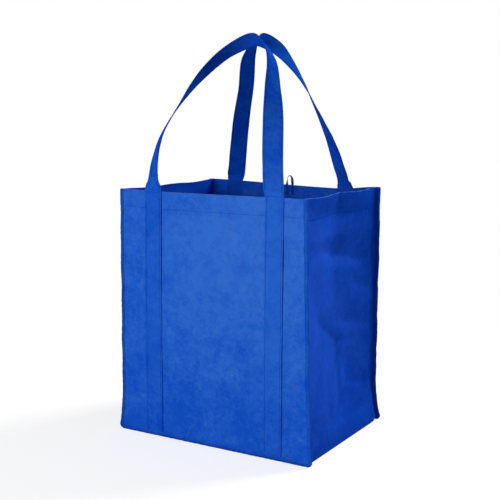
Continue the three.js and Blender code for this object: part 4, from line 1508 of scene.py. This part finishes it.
class MakeFinishes(bpy.types.Operator):
    """Mixes the cloth, thread, tape and board finishes"""

    bl_idname = "bag.make_finishes"
    bl_label = "Finishes"

    def execute(self, context):
        colours = context.scene.bag_colours
        group = spunbond_group()
        panel = (colours.panel_dark, colours.panel_light)
        sides = (colours.painted_shade_side_dark, colours.painted_shade_side_light)
        strap = (colours.strap_dark, colours.strap_light)
        # The middle and reach given last make a painted pool of light, darker further off
        cloth_finish("panel_cloth", group, panel, clouds=1.15, doubled_shade=0.12, roughness=0.45,
                     gloss=0.07, painted_light=((0.05, -0.13, 0.31), 0.31))
        # The sides take a darker, more saturated copy of the panels' cloth as painted shade
        cloth_finish("side_cloth", group, sides, clouds=1.0, doubled_shade=0.25, roughness=0.6,
                     gloss=0.01, painted_light=((0.16, -0.10, 0.22), 0.26))
        cloth_finish("strap_cloth", group, strap, clouds=0.9, doubled_shade=0.0, roughness=0.7,
                     gloss=0.0, painted_light=((0.10, -0.13, 0.24), 0.38))
        cloth_finish("tape_cloth", group, panel, clouds=1.0, doubled_shade=0.15, roughness=0.6,
                     gloss=0.03)
        thread_finish(colours.thread)
        woven_finish(colours.loop)
        board_finish(colours.board)
        return {"FINISHED"}


class MakePanels(bpy.types.Operator):
    """Cuts the front and back panels with their hems"""

    bl_idname = "bag.make_panels"
    bl_label = "Panels"

    def execute(self, context):
        shape, straps = context.scene.bag_shape, context.scene.bag_straps
        for panel in panels_of(shape):
            points, layers = panel_grid(shape, straps, panel)
            if panel.half_turn:
                points = turned(points)
            piece = sewn_sheet(panel.name, points, layers, shape.cloth, finish_named("panel_cloth"))
            place(piece, "cloth", panel.node)
        return {"FINISHED"}


class MakeStrip(bpy.types.Operator):
    """Folds the strip that is both sides and the base"""

    bl_idname = "bag.make_strip"
    bl_label = "Sides and base"

    def execute(self, context):
        shape = context.scene.bag_shape
        points, layers = strip_grid(shape, STRIP_STEP)
        piece = sewn_sheet("side_and_base_sheet", points, layers, shape.cloth, finish_named("side_cloth"))
        place(piece, "cloth", "side_and_base_strip")
        return {"FINISHED"}


class MakeBindings(bpy.types.Operator):
    """Folds the binding tapes over both seams"""

    bl_idname = "bag.make_bindings"
    bl_label = "Bindings"

    def execute(self, context):
        shape = context.scene.bag_shape
        stations = strip_stations(shape, GRID_STEP)
        for name, node, seed, half_turn, panel in (
            ("front_binding_tape", "front_binding", 41, False, "front_panel_sheet"),
            ("back_binding_tape", "back_binding", 47, True, "back_panel_sheet"),
        ):
            points = binding_grid(shape, stations, seed, half_turn)
            if half_turn:
                points = turned(points)
            columns = points.shape[1]
            layers = tape_painted_shade(stations, columns)
            piece = sewn_sheet(name, points, layers, shape.cloth, finish_named("tape_cloth"))
            place(piece, "binding_tape", node)
        return {"FINISHED"}


class MakeStraps(bpy.types.Operator):
    """Sews on the two long straps with their rows of stitches"""

    bl_idname = "bag.make_straps"
    bl_label = "Straps"

    def execute(self, context):
        shape, straps = context.scene.bag_shape, context.scene.bag_straps
        thread = finish_named("sewing_thread")
        for panel in panels_of(shape):
            line, edge, normal, on_panel = strap_path(shape, straps, panel)
            rings = strap_rings(straps, line, edge, normal, on_panel, panel.seed)
            runs = strap_row_stitches(straps, rings, normal, on_panel)
            runs += cross_stitches(straps, line, edge, normal, on_panel)
            if panel.half_turn:
                rings = turned(rings)
                runs = turned_runs(runs)
            piece = tube_mesh(panel.strap, rings, finish_named("strap_cloth"))
            place(piece, "strap", panel.strap_node)
            place(thread_piece(panel.strap + "_thread", runs, thread), "strap")
        return {"FINISHED"}


class MakeHangLoop(bpy.types.Operator):
    """Sews the small hang loop into the back hem"""

    bl_idname = "bag.make_hang_loop"
    bl_label = "Hang loop"

    def execute(self, context):
        shape, straps = context.scene.bag_shape, context.scene.bag_straps
        low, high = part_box("hang_loop")
        inside = panel_plane(shape) + layer(shape) + shape.cloth / 2 + shape.clearance + HANG_LOOP_THICK
        share, up, edge_x, edge_z = np.array(HANG_LOOP).T
        level = high.z - straps.loop_rise + np.where(up < 0, up * HANG_LOOP_TAIL, up * straps.loop_rise)
        across = share * HANG_LOOP_HALF - (low.x + high.x) / 2
        knots = np.stack([across, np.full(len(share), inside), level], -1)
        edges = unit(np.stack([edge_x, edge_z, np.zeros(len(share))], -1))
        line = smooth_curve(knots, HANG_LOOP_STATIONS, CURVE_POWER)
        edge, normal = frame_along(line, smooth_curve(edges, HANG_LOOP_STATIONS, 0.0))
        turn = np.linspace(0, TAU, 25)[:-1]
        wide = rounded_wave(np.cos(turn), 0.35) * straps.loop_width / 2
        thick = rounded_wave(np.sin(turn), 0.8) * HANG_LOOP_THICK
        rings = line[:, None] + edge[:, None] * wide[:, None] + normal[:, None] * thick[:, None]
        piece = tube_mesh("hang_loop_tape", turned(rings), finish_named("loop_tape_weave"))
        place(piece, "loop_tape", "hang_loop")
        return {"FINISHED"}


class MakeSeams(bpy.types.Operator):
    """Runs the stitches of the hems and the bindings"""

    bl_idname = "bag.make_seams"
    bl_label = "Seams"

    def execute(self, context):
        shape, straps = context.scene.bag_shape, context.scene.bag_straps
        thread = finish_named("sewing_thread")
        for panel in panels_of(shape):
            runs = hem_stitches(shape, straps, panel)
            runs += inner_row_stitches(shape, straps, panel)
            runs += binding_stitches(shape, straps, panel)
            if panel.half_turn:
                runs = turned_runs(runs)
            place(thread_piece(panel.name.replace("sheet", "seams"), runs, thread), "cloth")
        runs = [side_hem_stitches(shape, straps, side) for side in (-1.0, 1.0)]
        place(thread_piece("side_hem_seams", runs, thread), "cloth")
        return {"FINISHED"}


class MakeBoard(bpy.types.Operator):
    """Gives the loose base board its plastic finish"""

    bl_idname = "bag.make_board"
    bl_label = "Base board"

    def execute(self, context):
        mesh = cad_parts["base_board"].data
        mesh.materials.clear()
        mesh.materials.append(finish_named("board_plastic"))
        return {"FINISHED"}


class MakeStage(bpy.types.Operator):
    """Sets the camera, the lamps, the floor and the world"""

    bl_idname = "bag.make_stage"
    bl_label = "Stage"

    def execute(self, context):
        stage = context.scene.bag_stage
        set_camera(context.scene, stage)
        for name, place_at, size, setting in LAMPS:
            add_lamp(name, place_at, size, getattr(stage, setting))
        set_world(context.scene, stage)
        add_floor()
        context.scene.view_settings.view_transform = "Standard"
        return {"FINISHED"}


def set_camera(scene, stage):
    """Camera from its place, turn, tilt and roll: its three axes are worked out from the angles."""
    turn, tilt, roll = stage.camera_turn, stage.camera_tilt, stage.camera_roll
    ahead = np.array([math.sin(turn) * math.cos(tilt), math.cos(turn) * math.cos(tilt), math.sin(tilt)])
    right = np.array([math.cos(turn), -math.sin(turn), 0])
    up = np.cross(right, ahead)
    rolled_right = math.cos(roll) * right + math.sin(roll) * up
    rolled_up = math.cos(roll) * up - math.sin(roll) * right
    data = bpy.data.cameras.new("photo_camera")
    data.sensor_width = 36
    data.lens = stage.lens
    camera = bpy.data.objects.new("photo_camera", data)
    scene.collection.objects.link(camera)
    matrix = Matrix(np.stack([rolled_right, rolled_up, -ahead], -1).tolist()).to_4x4()
    matrix.translation = Vector(stage.camera_place)
    camera.matrix_world = matrix
    scene.camera = camera


def add_lamp(name, place_at, size, power):
    """A square soft lamp aimed at the middle of the bag."""
    data = bpy.data.lights.new(name, "AREA")
    data.size = size
    data.energy = power
    lamp = bpy.data.objects.new(name, data)
    lamp.location = place_at
    towards = Vector(LAMP_TARGET) - Vector(place_at)
    lamp.rotation_euler = towards.to_track_quat("-Z", "Y").to_euler()
    bpy.context.scene.collection.objects.link(lamp)


def seen_directly(tree):
    """1 for rays that the camera or a reflection sends, and 0 for the light between surfaces."""
    path = tree.nodes.new("ShaderNodeLightPath")
    either = maths(tree, "MAXIMUM", path.outputs["Is Camera Ray"], path.outputs["Is Glossy Ray"])
    return maths(tree, "MAXIMUM", either, path.outputs["Is Transmission Ray"])


def set_world(scene, stage):
    """A white world, seen at full strength, and dimmer as a source of light."""
    world = bpy.data.worlds.new("white_world")
    world.use_nodes = True
    tree = world.node_tree
    rest = maths(tree, "MULTIPLY", seen_directly(tree), 1 - stage.world)
    strength = maths(tree, "ADD", stage.world, rest)
    background = tree.nodes["Background"]
    background.inputs["Color"].default_value = (1, 1, 1, 1)
    tree.links.new(strength, background.inputs["Strength"])
    scene.world = world


def grey(value):
    """A grey with full alpha."""
    return (value, value, value, 1)


def floor_finish():
    """Pale paper. The camera sees grey paper with a glow near the bag, so that its shadow shows,
    which fades into plain white further out. The light between surfaces meets plain grey."""
    material, tree, bsdf = new_material("floor_paper")
    bsdf.inputs["Base Color"].default_value = grey(FLOOR_BOUNCE)
    bsdf.inputs["Roughness"].default_value = 0.9
    pale = tree.nodes.new("ShaderNodeBsdfDiffuse")
    pale.inputs["Color"].default_value = grey(FLOOR_GREY)
    glow = tree.nodes.new("ShaderNodeEmission")
    glow.inputs["Strength"].default_value = FLOOR_GLOW
    both = tree.nodes.new("ShaderNodeAddShader")
    tree.links.new(pale.outputs[0], both.inputs[0])
    tree.links.new(glow.outputs[0], both.inputs[1])
    white = tree.nodes.new("ShaderNodeEmission")
    span = tree.nodes.new("ShaderNodeVectorMath")
    span.operation = "LENGTH"
    tree.links.new(object_place(tree), span.inputs[0])
    far = smooth_range(tree, span.outputs["Value"], *FLOOR_FADE)
    seen = shader_mix(tree, far, both.outputs[0], white.outputs[0])
    surface = shader_mix(tree, seen_directly(tree), bsdf.outputs[0], seen)
    tree.links.new(surface, tree.nodes["Material Output"].inputs["Surface"])
    return material


def shader_mix(tree, share, low, high):
    """A shader that runs from low at a share of 0 to high at a share of 1."""
    node = tree.nodes.new("ShaderNodeMixShader")
    for socket, link in zip(node.inputs, (share, low, high)):
        tree.links.new(link, socket)
    return node.outputs[0]


def add_floor():
    """A wide square floor just under the bag, which looks white and keeps the bag's shadow."""
    square = ((-1, -1), (1, -1), (1, 1), (-1, 1))
    corners = [(x * FLOOR_REACH, y * FLOOR_REACH, FLOOR_LEVEL) for x, y in square]
    mesh = bpy.data.meshes.new("floor")
    mesh.from_pydata(corners, [], [(0, 1, 2, 3)])
    mesh.materials.append(floor_finish())
    floor = bpy.data.objects.new("floor", mesh)
    bpy.context.scene.collection.objects.link(floor)


class BagPanel(bpy.types.Panel):
    """Buttons and sizes of the bag"""

    bl_idname = "VIEW3D_PT_bag"
    bl_label = "Shopping bag"
    bl_space_type = "VIEW_3D"
    bl_region_type = "UI"
    bl_category = "Bag"

    def draw(self, context):
        """Lists the operators, and every group of settings in a box."""
        for operator in OPERATORS:
            self.layout.operator(operator.bl_idname)
        for setting in SETTINGS:
            group = getattr(context.scene, setting)
            box = self.layout.box()
            for name in group.bl_rna.properties.keys():
                if name not in ("rna_type", "name"):
                    box.prop(group, name)


SETTINGS = {
    "bag_shape": BagShape,
    "bag_straps": StrapShape,
    "bag_colours": BagColours,
    "bag_stage": BagStage,
}
OPERATORS = (
    MakeFinishes,
    MakePanels,
    MakeStrip,
    MakeBindings,
    MakeStraps,
    MakeHangLoop,
    MakeSeams,
    MakeBoard,
    MakeStage,
)


def register():
    """Registers the classes and hangs the settings on the scene."""
    for cls in (*SETTINGS.values(), *OPERATORS, BagPanel):
        bpy.utils.register_class(cls)
    for name, cls in SETTINGS.items():
        setattr(bpy.types.Scene, name, PointerProperty(type=cls))


def unregister():
    """Takes the settings and the classes away again."""
    for name in SETTINGS:
        delattr(bpy.types.Scene, name)
    for cls in (BagPanel, *reversed(OPERATORS), *reversed(list(SETTINGS.values()))):
        bpy.utils.unregister_class(cls)


def main():
    """Makes every piece in order, then the stage."""
    register()
    bpy.ops.bag.make_finishes()
    bpy.ops.bag.make_panels()
    bpy.ops.bag.make_strip()
    bpy.ops.bag.make_bindings()
    bpy.ops.bag.make_straps()
    bpy.ops.bag.make_hang_loop()
    bpy.ops.bag.make_seams()
    bpy.ops.bag.make_board()
    bpy.ops.bag.make_stage()
    bpy.context.view_layer.update()


if __name__ == "__main__":
    main()
